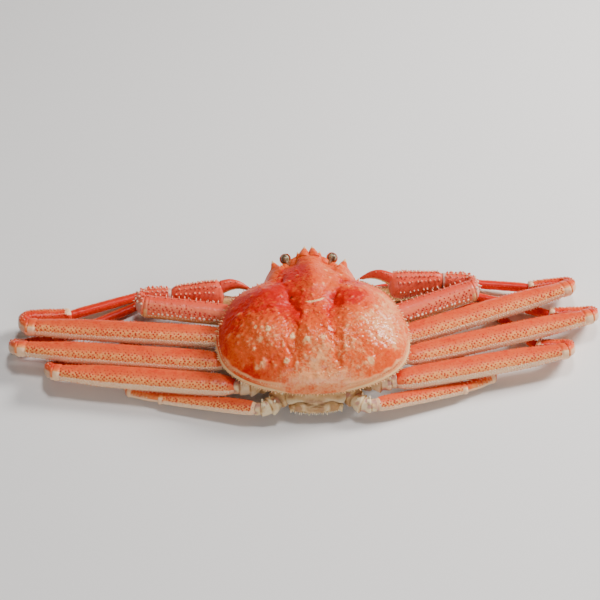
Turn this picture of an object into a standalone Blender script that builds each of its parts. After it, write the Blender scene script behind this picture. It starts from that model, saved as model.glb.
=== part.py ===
"""A tanner crab, life size, lying on its belly with its legs and claws folded.

Lengths are in millimetres and angles in degrees until solid() turns them into metres.
The crab faces +Y. The origin is the middle of the belly, at the level it rests on.
Left and right are the crab's own as seen from behind, so left is at -X.
A heading is measured from straight out of the body's side towards the front.
"""
import math
import random
from collections import namedtuple

import bmesh
import bpy
from mathutils import Vector

MM = 0.001
GAP = 0.3
SEED = 41

# Driving sizes of the shell
SHELL_CROWN = 44.6
SHELL_SEAM = 17.5
SHELL_MIDDLE = Vector((0.0, 2.0, 0.0))
BODY_TOP = SHELL_SEAM - GAP

# Half of the shell's edge, front to back: across, forward, height
SHELL_EDGE = (
    (0.0, 60.5, 32.5),
    (6.5, 60.0, 31.0),
    (9.5, 54.8, 29.0),
    (17.0, 53.4, 27.5),
    (20.8, 56.0, 28.0),
    (25.4, 47.5, 27.0),
    (28.6, 40.8, 26.0),
    (37.0, 36.4, 25.0),
    (47.6, 26.4, 24.5),
    (54.6, 8.0, 24.0),
    (56.0, -7.0, 23.5),
    (51.8, -22.6, 22.5),
    (40.0, -33.6, 21.6),
    (22.0, -40.8, 21.0),
    (0.0, -43.2, 21.0),
)
EDGE_STEPS = 2

# Rings of the shell's back and of its turned-in underside: share of the way out from the
# middle, and for the underside how far the ring has dropped to the seam
SHELL_RINGS = (0.983, 0.94, 0.87, 0.78, 0.67, 0.54, 0.4, 0.26, 0.12)
UNDER_RINGS = ((0.86, 1.0), (0.93, 0.7), (0.975, 0.35))

# Swellings and furrows of the shell's back: across, forward, half width, half length, height.
# Those away from the middle line are on both sides.
SHELL_REGIONS = (
    (0.0, 28.0, 15.0, 17.0, 3.4),
    (0.0, -16.0, 11.0, 11.0, 2.2),
    (30.0, -8.0, 17.0, 21.0, 3.2),
    (30.0, 19.0, 10.0, 9.0, 2.4),
    (12.5, 9.0, 5.0, 12.0, -3.2),
    (21.0, 33.0, 7.0, 6.0, -2.0),
    (12.0, -20.0, 3.5, 12.0, -1.8),
    (0.0, -34.0, 16.0, 6.0, -2.5),
)

# Horns of the rostrum and teeth beside the eyes, right side: root, tip, root radius
SHELL_HORNS = (
    (Vector((3.0, 56.5, 31.5)), Vector((2.2, 67.4, 32.4)), 3.0),
    (Vector((5.4, 56.2, 31.0)), Vector((7.0, 61.4, 33.2)), 1.9),
    (Vector((15.6, 49.4, 28.6)), Vector((17.2, 53.8, 30.4)), 1.5),
    (Vector((19.6, 50.0, 27.0)), Vector((22.4, 58.6, 29.0)), 2.8),
)
HORN_FULLNESS = 0.75
HORN_SIDES = 7

# Sections of the body below the shell: height, share of the edge's width, share of its length
BODY_SECTIONS = (
    (0.0, 0.41, 0.47),
    (0.8, 0.47, 0.54),
    (3.0, 0.54, 0.62),
    (8.0, 0.63, 0.70),
    (14.5, 0.72, 0.76),
    (BODY_TOP, 0.83, 0.83),
)

# The abdomen's fold, from under the shell's back edge round to its tip under the belly:
# forward, height, half width, half thickness
ABDOMEN_COURSE = (
    (-31.0, 13.2, 15.0, 2.8),
    (-36.5, 13.5, 16.8, 3.0),
    (-41.2, 11.5, 17.8, 2.8),
    (-42.9, 7.5, 16.8, 2.4),
    (-41.4, 3.9, 14.8, 2.2),
    (-35.5, 1.9, 14.0, 1.9),
    (-24.0, 1.6, 12.0, 1.7),
    (-6.0, 1.6, 9.5, 1.7),
    (8.0, 1.6, 8.0, 1.7),
    (14.0, 1.6, 4.5, 1.7),
)
ABDOMEN_REAR_MOST = 3
ABDOMEN_PARTING = 5

# A straight segment: length, heading, height of its far end's middle
Segment = namedtuple("Segment", "length heading end_height")

# A limb from the hip out. The tilt is how steeply the fold at its knee leans down.
Limb = namedtuple("Limb", "hip merus tilt carpus hand tip")

LIMBS = {
    "leg_left_1": Limb((51.0, 9.2, 14.0), Segment(117.5, 6.2, 15.0), 20.0,
                       Segment(23.5, 170.0, 7.5), Segment(56.0, 155.5, 3.0), Segment(42.0, 196.0, 0.9)),
    "leg_left_2": Limb((53.0, -10.8, 14.0), Segment(120.5, 7.8, 13.6), 42.0,
                       Segment(24.0, 164.0, 4.4), Segment(60.0, 149.0, 3.0), Segment(42.0, 196.0, 0.9)),
    "leg_left_3": Limb((46.0, -29.0, 13.5), Segment(105.5, 8.7, 12.4), 38.0,
                       Segment(20.0, 163.0, 4.0), Segment(52.0, 150.0, 3.0), Segment(38.0, 182.0, 0.9)),
    "leg_left_4": Limb((34.0, -43.8, 9.6), Segment(57.0, 14.0, 6.2), 0.0,
                       Segment(20.0, 21.0, 4.2), Segment(28.0, 150.0, 2.6), Segment(22.0, 162.0, 0.8)),
    "leg_right_1": Limb((51.0, 5.4, 14.0), Segment(112.0, 19.1, 15.0), 34.0,
                        Segment(19.5, 183.0, 7.0), Segment(60.0, 168.0, 3.0), Segment(43.0, 184.0, 0.9)),
    "leg_right_2": Limb((53.0, -10.8, 14.0), Segment(117.5, 14.6, 13.6), 38.0,
                        Segment(20.5, 177.0, 5.0), Segment(61.0, 156.0, 2.7), Segment(44.0, 188.0, 0.9)),
    "leg_right_3": Limb((46.5, -28.4, 13.5), Segment(103.5, 11.3, 13.0), 36.0,
                        Segment(14.0, 172.0, 4.8), Segment(44.0, 126.0, 2.9), Segment(37.0, 172.0, 0.9)),
    "leg_right_4": Limb((34.0, -43.2, 9.6), Segment(55.0, 15.0, 6.4), 0.0,
                        Segment(20.0, 27.0, 4.4), Segment(28.0, 150.0, 2.6), Segment(22.0, 162.0, 0.8)),
    "claw_left": Limb((45.5, 26.4, 14.5), Segment(54.5, 8.5, 17.0), 23.0,
                      Segment(15.0, 179.0, 13.0), Segment(29.0, 180.0, 12.9), Segment(19.5, 176.0, 13.6)),
    "claw_right": Limb((46.0, 21.0, 14.5), Segment(55.5, 19.8, 17.0), 25.0,
                       Segment(15.5, 172.0, 12.8), Segment(31.0, 187.5, 13.4), Segment(20.5, 160.0, 13.0)),
}

# Where each limb's base leaves the body, for the right side: across, forward, height
BASE_ROOTS = {
    "claw": Vector((26.0, 20.0, 10.5)),
    "leg_1": Vector((29.0, 7.0, 10.5)),
    "leg_2": Vector((29.0, -7.0, 10.0)),
    "leg_3": Vector((26.0, -20.0, 10.0)),
    "leg_4": Vector((17.5, -27.0, 9.5)),
}

# Half width and half height of a base's sections, from the body to the hip
BASE_SIZES = ((6.6, 6.0), (6.4, 5.9), (5.4, 4.9), (5.9, 4.7), (4.6, 3.8), (4.3, 3.2))
LAST_BASE_SCALE = 0.86

# Half width and half height of each segment at its thickest
LEG_SIZES = {"merus": (7.3, 5.1), "carpus": (5.0, 4.2), "propodus": (3.5, 2.9), "dactyl": (2.7, 2.4)}
LAST_LEG_SCALES = {"merus": 0.66, "carpus": 0.72, "propodus": 0.78, "dactyl": 0.85}
CLAW_SIZES = {"merus": (6.6, 6.8), "carpus": (5.5, 6.1), "palm": (6.4, 8.6)}
FINGER_SIZE = (3.6, 4.2)
SEGMENT_SIDES = {"merus": 12, "carpus": 10, "propodus": 8, "dactyl": 8, "palm": 12}
SQUARENESS = 0.92

# Share of a segment's length and share of its size at each section
PROFILES = {
    "merus": ((0.0, 0.60), (0.02, 0.84), (0.06, 0.97), (0.2, 1.02), (0.5, 1.0), (0.8, 0.94),
              (0.955, 0.87), (0.975, 0.95), (1.0, 0.92)),
    "carpus": ((0.0, 0.90), (0.35, 1.02), (0.75, 0.94), (1.0, 0.84)),
    "propodus": ((0.0, 0.86), (0.1, 1.0), (0.4, 0.98), (0.9, 0.86), (1.0, 0.88)),
    "dactyl": ((0.0, 0.92), (0.15, 1.0), (0.5, 0.8), (0.8, 0.5), (1.0, 0.2)),
    "claw_merus": ((0.0, 0.60), (0.03, 0.86), (0.1, 0.96), (0.5, 1.0), (0.93, 0.98), (0.97, 1.04), (1.0, 0.96)),
    "palm": ((0.0, 0.62), (0.1, 0.74), (0.4, 0.90), (0.8, 1.06), (1.0, 1.10)),
}

# Finger sections: share of the length, distance from the palm's middle line, share of the size
FINGER_PROFILE = ((0.0, 4.6, 1.0), (0.3, 4.5, 0.84), (0.6, 3.5, 0.60), (0.85, 1.9, 0.34), (1.0, 0.9, 0.14))
FINGER_BULGE = {"finger": 1.9, "fixed": 0.9}
FINGER_ROOT = 4.0

# A joint that turns by more than this many degrees folds round a pivot beside the limb
SHARP_TURN = 60.0
FOLD_STEPS = 4
FOLD_ROOM = {"leg": 0.5, "claw": 0.4}
FOLD_PINCH = {"leg": 0.68, "claw": 0.56}

# Denticles along each half of the shell's edge and tubercles over each half of its back
DENTICLES = 22
DENTICLE_START = 0.28
DENTICLE_SIZE = (1.7, 0.95)
TUBERCLES = 22
TUBERCLE_SIZE = (1.1, 1.5)
TUBERCLE_SPACING = 7.0
TUBERCLE_REACH = 0.86

# A row of spines along a segment: angle round its section from its wide axis up, first and
# last share of its length, number, length and root radius
SpineRow = namedtuple("SpineRow", "angle first last count length radius")
SPINE_ROWS = {
    "leg_merus": (SpineRow(196.0, 0.05, 0.95, 12, 0.9, 1.0),),
    "last_leg_merus": (SpineRow(196.0, 0.08, 0.92, 7, 0.7, 0.8),),
    "claw_merus": (SpineRow(206.0, 0.08, 0.94, 11, 1.2, 1.0), SpineRow(118.0, 0.15, 0.97, 8, 1.6, 1.1),
                   SpineRow(60.0, 0.2, 0.95, 7, 1.6, 1.1)),
    "claw_carpus": (SpineRow(150.0, 0.15, 0.85, 5, 1.6, 1.1), SpineRow(105.0, 0.2, 0.9, 4, 1.6, 1.1)),
    "claw_palm": (SpineRow(88.0, 0.08, 0.94, 8, 1.7, 1.1), SpineRow(48.0, 0.08, 0.94, 8, 1.4, 1.0),
                  SpineRow(8.0, 0.1, 0.92, 8, 1.2, 1.0)),
}
SPINE_JITTER = 0.12

# The fringe of the abdomen's rear edge: number of teeth, length and root radius, and the share
# of the abdomen's width that it covers
FRINGE = (13, 1.5, 1.1)
FRINGE_REACH = 0.92

# Eyes, mouthparts and feelers, for the right side
EYE_ROOT = Vector((10.5, 52.6, 27.4))
EYE_MIDDLE = Vector((14.4, 58.6, 29.3))
EYE_RADIUS = 2.9
EYE_STALK_RADIUS = 1.8
FEELER_COURSE = (
    (7.5, 52.5, 21.5),
    (9.0, 58.0, 20.5),
    (12.0, 61.5, 17.5),
    (16.0, 64.5, 12.5),
    (19.0, 66.0, 7.0),
)
FEELER_RADII = (1.9, 1.6, 0.8, 0.55, 0.35)
MOUTH_COURSE = ((4.9, 49.5, 15.6), (5.2, 47.0, 11.0), (5.3, 43.5, 6.5), (5.1, 39.0, 2.6))
MOUTH_WIDTHS = (3.0, 4.3, 4.5, 3.4)
MOUTH_THICKNESS = 2.3

COLOURS = {
    "shell": ((0.86, 0.27, 0.10), 0.28),
    "leg": ((0.88, 0.33, 0.16), 0.32),
    "claw": ((0.84, 0.22, 0.14), 0.32),
    "cream": ((0.86, 0.72, 0.48), 0.38),
    "eye": ((0.10, 0.09, 0.06), 0.08),
}

# One section of a limb: its middle, the two axes of its oval and their half lengths
Section = namedtuple("Section", "middle wide high half_wide half_high")


def clear_scene():
    """Start from an empty scene."""
    for old in list(bpy.data.objects):
        bpy.data.objects.remove(old, do_unlink=True)


def paint(name):
    """The material of that name, made once."""
    material = bpy.data.materials.get(name)
    if material is None:
        material = bpy.data.materials.new(name)
        material.use_nodes = True
        colour, roughness = COLOURS[name]
        shader = material.node_tree.nodes["Principled BSDF"]
        shader.inputs["Base Color"].default_value = (*colour, 1.0)
        shader.inputs["Roughness"].default_value = roughness
        shader.inputs["Metallic"].default_value = 0.0
    return material


def mixed(low, high, share):
    """The value a share of the way from low to high."""
    return low + (high - low) * share


def eased(share):
    """A share from 0 to 1, slowed at both ends."""
    share = min(max(share, 0.0), 1.0)
    return share * share * (3.0 - 2.0 * share)


def scaled(sizes, factor):
    """A pair of half sizes times a factor."""
    return sizes[0] * factor, sizes[1] * factor


def on_side(point, side):
    """The point, or its mirror image for the left side."""
    return Vector((point[0] * side, point[1], point[2]))


def solid(name, rings, colour, tip=None):
    """A closed object through rings of points, with flat ends or a point at the tip."""
    mesh = bmesh.new()
    loops = [[mesh.verts.new(point * MM) for point in ring] for ring in rings]
    for near, far in zip(loops, loops[1:]):
        for index in range(len(near)):
            after = (index + 1) % len(near)
            mesh.faces.new((near[index], near[after], far[after], far[index]))
    mesh.faces.new(loops[0])
    if tip is None:
        mesh.faces.new(loops[-1])
    else:
        point = mesh.verts.new(tip * MM)
        for corner, after in zip(loops[-1], loops[-1][1:] + loops[-1][:1]):
            mesh.faces.new((corner, after, point))
    bmesh.ops.triangulate(mesh, faces=mesh.faces[:])
    bmesh.ops.recalc_face_normals(mesh, faces=mesh.faces[:])
    data = bpy.data.meshes.new(name)
    mesh.to_mesh(data)
    mesh.free()
    data.materials.append(paint(colour))
    made = bpy.data.objects.new(name, data)
    bpy.context.scene.collection.objects.link(made)
    return made


def shade_round(made):
    """Shade round sides smooth and keep real edges sharp."""
    made.data.shade_smooth()
    made.data.set_sharp_from_angle(angle=math.radians(40.0))


def oval(middle, wide, high, half_wide, half_high, count, squareness=1.0):
    """A ring of points in the plane of wide and high, round at 1 and squarer below it."""
    points = []
    for index in range(count):
        angle = math.tau * (index + 0.5) / count
        across = math.copysign(abs(math.cos(angle)) ** squareness, math.cos(angle))
        along = math.copysign(abs(math.sin(angle)) ** squareness, math.sin(angle))
        points.append(middle + wide * (across * half_wide) + high * (along * half_high))
    return points


def on_floor(rings):
    """The rings with nothing below the floor, which leaves a small flat."""
    return [[Vector((point.x, point.y, max(point.z, 0.0))) for point in ring] for ring in rings]


def keep_largest(made):
    """Drop every closed surface of the mesh but the largest."""
    mesh = bmesh.new()
    mesh.from_mesh(made.data)
    left = set(mesh.verts)
    pieces = []
    while left:
        start = left.pop()
        piece = [start]
        for corner in piece:
            for edge in corner.link_edges:
                other = edge.other_vert(corner)
                if other in left:
                    left.discard(other)
                    piece.append(other)
        pieces.append(piece)
    pieces.sort(key=len)
    for piece in pieces[:-1]:
        bmesh.ops.delete(mesh, geom=piece, context="VERTS")
    mesh.to_mesh(made.data)
    mesh.free()


def combine(made, others, operation, solver="EXACT"):
    """Join the other objects to this one, or cut them from it, and remove them."""
    group = bpy.data.collections.new(made.name + "_pieces")
    bpy.context.scene.collection.children.link(group)
    for other in others:
        bpy.context.scene.collection.objects.unlink(other)
        group.objects.link(other)
    boolean = made.modifiers.new("pieces", "BOOLEAN")
    boolean.operation = operation
    boolean.operand_type = "COLLECTION"
    boolean.collection = group
    boolean.solver = solver
    graph = bpy.context.evaluated_depsgraph_get()
    data = bpy.data.meshes.new_from_object(made.evaluated_get(graph))
    made.modifiers.remove(boolean)
    made.data = data
    for other in others:
        bpy.data.objects.remove(other, do_unlink=True)
    bpy.data.collections.remove(group)
    keep_largest(made)


def grown(made):
    """A copy of the object, larger by the gap on every side."""
    data = made.data.copy()
    shifts = [vertex.normal * (GAP * MM) for vertex in data.vertices]
    for vertex, shift in zip(data.vertices, shifts):
        vertex.co += shift
    copy = bpy.data.objects.new(made.name + "_grown", data)
    bpy.context.scene.collection.objects.link(copy)
    return copy


def trim(made, neighbours):
    """Cut the object back so that it meets its neighbours with the gap between."""
    combine(made, [grown(neighbour) for neighbour in neighbours], "DIFFERENCE")


def spline(points, steps):
    """Points along a smooth curve through the given ones, with this many steps a span."""
    row = [Vector(point) for point in points]
    padded = [row[0] * 2.0 - row[1]] + row + [row[-1] * 2.0 - row[-2]]
    curve = []
    for before, start, end, after in zip(padded, padded[1:], padded[2:], padded[3:]):
        for step in range(steps):
            share = step / steps
            curve.append(0.5 * (2.0 * start + (end - before) * share
                                + (2.0 * before - 5.0 * start + 4.0 * end - after) * share ** 2
                                + (3.0 * start - before - 3.0 * end + after) * share ** 3))
    curve.append(row[-1])
    return curve


def shell_edge():
    """The whole edge of the shell as a ring of points."""
    half = spline(SHELL_EDGE, EDGE_STEPS)
    mirrored = [on_side(point, -1.0) for point in reversed(half[1:-1])]
    return half + mirrored


def shell_crown(across, forward):
    """Height of the shell's back over a place, before it falls to the edge."""
    height = SHELL_CROWN
    for middle, ahead, half_wide, half_long, swell in SHELL_REGIONS:
        for side in ((1.0,) if middle == 0.0 else (1.0, -1.0)):
            reach = ((across - side * middle) / half_wide) ** 2 + ((forward - ahead) / half_long) ** 2
            height += swell * math.exp(-reach)
    return height


def shell_point(edge, share):
    """A point of the shell's back, a share of the way from its middle to the edge."""
    place = SHELL_MIDDLE.lerp(Vector((edge.x, edge.y, 0.0)), share)
    frontness = eased((edge.y - 30.0) / 25.0)
    fullness = mixed(2.9, 2.1, frontness)
    roundness = mixed(0.60, 0.80, frontness)
    rise = (1.0 - share ** fullness) ** roundness
    place.z = mixed(edge.z, shell_crown(place.x, place.y), rise)
    return place


def under_point(edge, share, drop):
    """A point of the shell's turned-in underside."""
    place = SHELL_MIDDLE.lerp(Vector((edge.x, edge.y, 0.0)), share)
    place.z = mixed(edge.z, SHELL_SEAM, drop)
    return place


def spine(root, tip, radius, colour):
    """A closed four-sided spine from inside a surface out to its tip."""
    wide = (tip - root).orthogonal().normalized()
    high = (tip - root).normalized().cross(wide)
    return solid("spine", [oval(root, wide, high, radius, radius, 4)], colour, tip)


def horn(root, tip, radius):
    """A round horn that keeps most of its thickness up to its middle."""
    wide = (tip - root).orthogonal().normalized()
    high = (tip - root).normalized().cross(wide)
    middle = radius * HORN_FULLNESS
    rings = [oval(root, wide, high, radius, radius, HORN_SIDES)]
    rings.append(oval(root.lerp(tip, 0.5), wide, high, middle, middle, HORN_SIDES))
    return solid("horn", rings, "shell", tip)


def upward(section):
    """The section's high axis, turned to point up."""
    return section.high if section.high.z > 0.0 else -section.high


def section_at(row, share):
    """The section a share of the way along a segment."""
    steps = [(after.middle - before.middle).length for before, after in zip(row, row[1:])]
    left = share * sum(steps)
    for before, after, step in zip(row, row[1:], steps):
        if left <= step:
            break
        left -= step
    part = min(left / step, 1.0)
    return Section(before.middle.lerp(after.middle, part),
                   before.wide.lerp(after.wide, part).normalized(),
                   before.high.lerp(after.high, part).normalized(),
                   mixed(before.half_wide, after.half_wide, part),
                   mixed(before.half_high, after.half_high, part))


def limb_spines(row, kind, colour, dice):
    """The rows of spines of one segment, a little uneven in spacing and length."""
    spines = []
    for line in SPINE_ROWS[kind]:
        for index in range(line.count):
            share = mixed(line.first, line.last, (index + 0.5) / line.count)
            section = section_at(row, share + dice.uniform(-SPINE_JITTER, SPINE_JITTER) / line.count)
            angle = math.radians(line.angle)
            across = section.wide * math.cos(angle)
            rise = upward(section) * math.sin(angle)
            out = (across / section.half_wide + rise / section.half_high).normalized()
            skin = section.middle + across * section.half_wide + rise * section.half_high
            length = line.length * dice.uniform(0.8, 1.2)
            spines.append(spine(skin - out * line.radius, skin + out * length, line.radius, colour))
    return spines


def shell_denticles(dice):
    """The small teeth along the shell's edge, behind the notch on each side."""
    half = spline(SHELL_EDGE, EDGE_STEPS * 4)
    length, radius = DENTICLE_SIZE
    teeth = []
    for side in (1.0, -1.0):
        for index in range(DENTICLES):
            share = mixed(DENTICLE_START, 1.0, (index + dice.uniform(0.3, 0.7)) / DENTICLES)
            edge = on_side(half[round(share * (len(half) - 1))], side)
            out = Vector((edge.x, edge.y - SHELL_MIDDLE.y, 0.0)).normalized()
            size = mixed(1.0, 0.6, eased((share - 0.7) / 0.3)) * dice.uniform(0.8, 1.2)
            teeth.append(spine(edge - out * radius, edge + out * (length * size), radius * size, "shell"))
    return teeth


def edge_beyond(place):
    """The edge point in a place's direction from the shell's middle, and the place's share of the way."""
    def bearing(point):
        return math.atan2(abs(point.x), point.y - SHELL_MIDDLE.y)

    edge = min(spline(SHELL_EDGE, EDGE_STEPS), key=lambda point: abs(bearing(point) - bearing(place)))
    reach = math.hypot(edge.x, edge.y - SHELL_MIDDLE.y)
    return edge, math.hypot(place.x, place.y - SHELL_MIDDLE.y) / reach


def tubercle_places(dice):
    """Places of the large tubercles of the right half, well apart and inside the edge."""
    places = []
    while len(places) < TUBERCLES:
        place = Vector((dice.uniform(3.0, 50.0), dice.uniform(-34.0, 44.0), 0.0))
        apart = all((place - other).length > TUBERCLE_SPACING for other in places)
        if apart and edge_beyond(place)[1] < TUBERCLE_REACH:
            places.append(place)
    return places


def back_point(across, forward):
    """The point of the shell's back over a place."""
    point = shell_point(*edge_beyond(Vector((across, forward, 0.0))))
    return Vector((across, forward, point.z))


def shell_tubercles(dice):
    """The large low tubercles of the shell's back, nearly alike on both sides."""
    height, radius = TUBERCLE_SIZE
    tubercles = []
    for place in tubercle_places(dice):
        for side in (1.0, -1.0):
            across = side * place.x + dice.uniform(-1.0, 1.0)
            forward = place.y + dice.uniform(-1.0, 1.0)
            skin = back_point(across, forward)
            along = back_point(across, forward + 1.0) - skin
            level = back_point(across + 1.0, forward) - skin
            out = level.cross(along).normalized()
            size = dice.uniform(0.75, 1.15)
            root = skin - out * (radius * size)
            tubercles.append(spine(root, skin + out * (height * size), radius * size, "shell"))
    return tubercles


def make_shell():
    """The shell of the back, with its horns, denticles and tubercles."""
    edge = shell_edge()
    rings = [[under_point(point, share, drop) for point in edge] for share, drop in UNDER_RINGS]
    rings.append(edge)
    rings += [[shell_point(point, share) for point in edge] for share in SHELL_RINGS]
    top = Vector((SHELL_MIDDLE.x, SHELL_MIDDLE.y, shell_crown(SHELL_MIDDLE.x, SHELL_MIDDLE.y)))
    shell = solid("carapace", rings, "shell", top)
    horns = []
    for side in (1.0, -1.0):
        for root, tip, radius in SHELL_HORNS:
            horns.append(horn(on_side(root, side), on_side(tip, side), radius))
    dice = random.Random(SEED)
    combine(shell, horns + shell_denticles(dice) + shell_tubercles(dice), "UNION")
    return shell


def make_body():
    """The underside that carries the limbs, below the shell."""
    edge = shell_edge()[::2]
    rings = []
    for height, width, length in BODY_SECTIONS:
        forward = [SHELL_MIDDLE.y + (point.y - SHELL_MIDDLE.y) * length for point in edge]
        rings.append([Vector((point.x * width, ahead, height)) for point, ahead in zip(edge, forward)])
    return solid("thorax", rings, "cream")


def course_sections(course, sizes, wide):
    """Sections along a course of points, wide along one direction."""
    sections = []
    for index, (place, (half_wide, half_high)) in enumerate(zip(course, sizes)):
        before = course[max(index - 1, 0)]
        after = course[min(index + 1, len(course) - 1)]
        along = (after - before).normalized()
        level = (wide - along * wide.dot(along)).normalized()
        sections.append(Section(place, level, along.cross(level), half_wide, half_high))
    return sections


def section_solid(name, sections, colour, count, squareness=1.0):
    """A closed object through sections, flat where it meets the floor."""
    rings = [oval(part.middle, part.wide, part.high, part.half_wide, part.half_high, count, squareness)
             for part in sections]
    return solid(name, on_floor(rings), colour)


def fringe_teeth(edge):
    """The teeth along the abdomen's rear-most section."""
    count, length, radius = FRINGE
    teeth = []
    for index in range(count):
        across = edge.half_wide * FRINGE_REACH * mixed(-1.0, 1.0, index / (count - 1))
        skin = Vector((across, edge.middle.y - edge.half_high, edge.middle.z))
        root = skin + Vector((0.0, radius, 0.0))
        teeth.append(spine(root, skin + Vector((0.0, -length, -length * 0.5)), radius, "cream"))
    return teeth


def make_abdomen():
    """The narrow abdomen: the part that folds round the back, and the flap under the belly."""
    course = [Vector((0.0, forward, height)) for forward, height, _, _ in ABDOMEN_COURSE]
    sizes = [row[2:] for row in ABDOMEN_COURSE]
    sections = course_sections(course, sizes, Vector((1.0, 0.0, 0.0)))
    rear = section_solid("abdomen", sections[:ABDOMEN_PARTING + 1], "cream", 12, 0.7)
    combine(rear, fringe_teeth(sections[ABDOMEN_REAR_MOST]), "UNION")
    flap_sections = sections[ABDOMEN_PARTING:]
    parting = flap_sections[0]
    along = (flap_sections[1].middle - parting.middle).normalized()
    flap_sections[0] = parting._replace(middle=parting.middle + along * GAP)
    flap = section_solid("abdomen_flap", flap_sections, "cream", 12, 0.7)
    return rear, flap


def make_eye(name, side):
    """An eye on its short stalk, in the notch beside the rostrum."""
    root = on_side(EYE_ROOT, side)
    middle = on_side(EYE_MIDDLE, side)
    along = (middle - root).normalized()
    wide = along.orthogonal().normalized()
    neck = middle - along * (EYE_RADIUS * 0.9)
    rows = [(root, EYE_STALK_RADIUS), (neck, EYE_STALK_RADIUS)]
    for angle in (-35.0, 0.0, 35.0, 65.0):
        lean = math.radians(angle)
        rows.append((middle + along * (EYE_RADIUS * math.sin(lean)), EYE_RADIUS * math.cos(lean)))
    rings = [oval(place, wide, along.cross(wide), radius, radius, 10) for place, radius in rows]
    return solid(name, rings, "eye", middle + along * EYE_RADIUS)


def make_feeler(name, side):
    """A short feeler from beside the mouth, hanging forward."""
    course = [on_side(point, side) for point in FEELER_COURSE]
    sizes = [(radius, radius) for radius in FEELER_RADII]
    return section_solid(name, course_sections(course, sizes, Vector((1.0, 0.0, 0.0))), "claw", 6)


def make_mouthpart(name, side):
    """One of the two plates that close the mouth."""
    course = [on_side(point, side) for point in MOUTH_COURSE]
    sizes = [(width, MOUTH_THICKNESS) for width in MOUTH_WIDTHS]
    return section_solid(name, course_sections(course, sizes, Vector((1.0, 0.0, 0.0))), "cream", 10, 0.8)


def heading_vector(side, heading):
    """Level unit vector at a heading."""
    angle = math.radians(heading)
    return Vector((side * math.cos(angle), math.sin(angle), 0.0))


def segment_vector(side, segment, start_height):
    """Unit vector along a segment that starts at a height."""
    rise = (segment.end_height - start_height) / segment.length
    return heading_vector(side, segment.heading) * math.sqrt(1.0 - rise * rise) + Vector((0.0, 0.0, rise))


def fold_vector(side, heading, tilt):
    """Unit vector from a segment towards the one folded back beside it."""
    lean = math.radians(tilt)
    return heading_vector(side, heading + 90.0) * math.cos(lean) - Vector((0.0, 0.0, math.sin(lean)))


def straight_sections(start, along, length, wide, sizes, profile, last_wide=None):
    """Sections of a straight segment, turning to the last wide axis near its end."""
    sections = []
    for share, size in profile:
        axis = wide if last_wide is None else wide.lerp(last_wide, eased((share - 0.7) / 0.3))
        axis = (axis - along * axis.dot(along)).normalized()
        place = start + along * (length * share)
        sections.append(Section(place, axis, along.cross(axis), sizes[0] * size, sizes[1] * size))
    return sections


def folded_sections(end, along, fold, turn, sizes, pinch, room):
    """Sections round a folded joint, from the end of one segment to the start of the next."""
    pivot = end.middle + fold * (end.half_wide + room)
    high = along.cross(fold).normalized()
    sections = []
    for step in range(FOLD_STEPS + 1):
        share = step / FOLD_STEPS
        angle = math.radians(turn) * share
        inward = fold * math.cos(angle) - along * math.sin(angle)
        half_wide = mixed(end.half_wide, sizes[0], share) * mixed(1.0, pinch, math.sin(math.pi * share))
        half_high = mixed(end.half_high, sizes[1], share)
        sections.append(Section(pivot - inward * (half_wide + room), inward, high, half_wide, half_high))
    return sections


def mitred(section, along, plane):
    """The section slanted to lie in the plane instead of square to its own direction."""
    wide = section.wide - along * (section.wide.dot(plane) / along.dot(plane))
    high = section.high - along * (section.high.dot(plane) / along.dot(plane))
    return section._replace(wide=wide, high=high)


def limb_rows(side, limb, kind, sizes, profiles):
    """Sections of each segment from the hip out, and the last segment's direction."""
    segments = (limb.merus, limb.carpus, limb.hand, limb.tip)[:len(sizes)]
    hip = on_side(limb.hip, side)
    along = segment_vector(side, limb.merus, hip.z)
    fold = fold_vector(side, limb.merus.heading, limb.tilt)
    level = fold_vector(side, limb.merus.heading, 0.0)
    rows = [straight_sections(hip, along, limb.merus.length, level, sizes[0], profiles[0], fold)]
    for before, segment, size, profile in zip(segments, segments[1:], sizes[1:], profiles[1:]):
        last = rows[-1][-1]
        turn = segment.heading - before.heading
        if abs(turn) > SHARP_TURN:
            start = last._replace(middle=last.middle + along * GAP)
            joint = folded_sections(start, along, fold, turn, size, FOLD_PINCH[kind], FOLD_ROOM[kind])
            last = joint[-1]
            onward = segment_vector(side, segment, last.middle.z)
            row = joint + straight_sections(last.middle, onward, segment.length, last.wide,
                                            size, profile[1:])
        else:
            onward = segment_vector(side, segment, last.middle.z)
            plane = (along + onward).normalized()
            rows[-1][-1] = mitred(last, along, plane)
            start = last.middle + plane * GAP
            row = straight_sections(start, onward, segment.length, last.wide, size, profile)
            row[0] = mitred(row[0], onward, plane)
        rows.append(row)
        along = onward
        fold = fold_vector(side, segment.heading, 0.0)
    return rows, along


def make_base(name, side, limb, scale):
    """The short base of a limb, from inside the body to the hip."""
    kind = name.replace("_left", "").replace("_right", "")
    start = on_side(BASE_ROOTS[kind], side)
    hip = on_side(limb.hip, side)
    along = segment_vector(side, limb.merus, hip.z)
    end = hip - along * GAP
    bend = end - along * (end - start).length * 0.5
    sections = []
    for index, sizes in enumerate(BASE_SIZES):
        share = index / (len(BASE_SIZES) - 1)
        near = start.lerp(bend, share)
        far = bend.lerp(end, share)
        tangent = (far - near).normalized()
        wide = Vector((-tangent.y, tangent.x, 0.0)).normalized()
        sections.append(Section(near.lerp(far, share), wide, tangent.cross(wide), *scaled(sizes, scale)))
    return section_solid(name + "_base", sections, "cream", 10)


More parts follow.
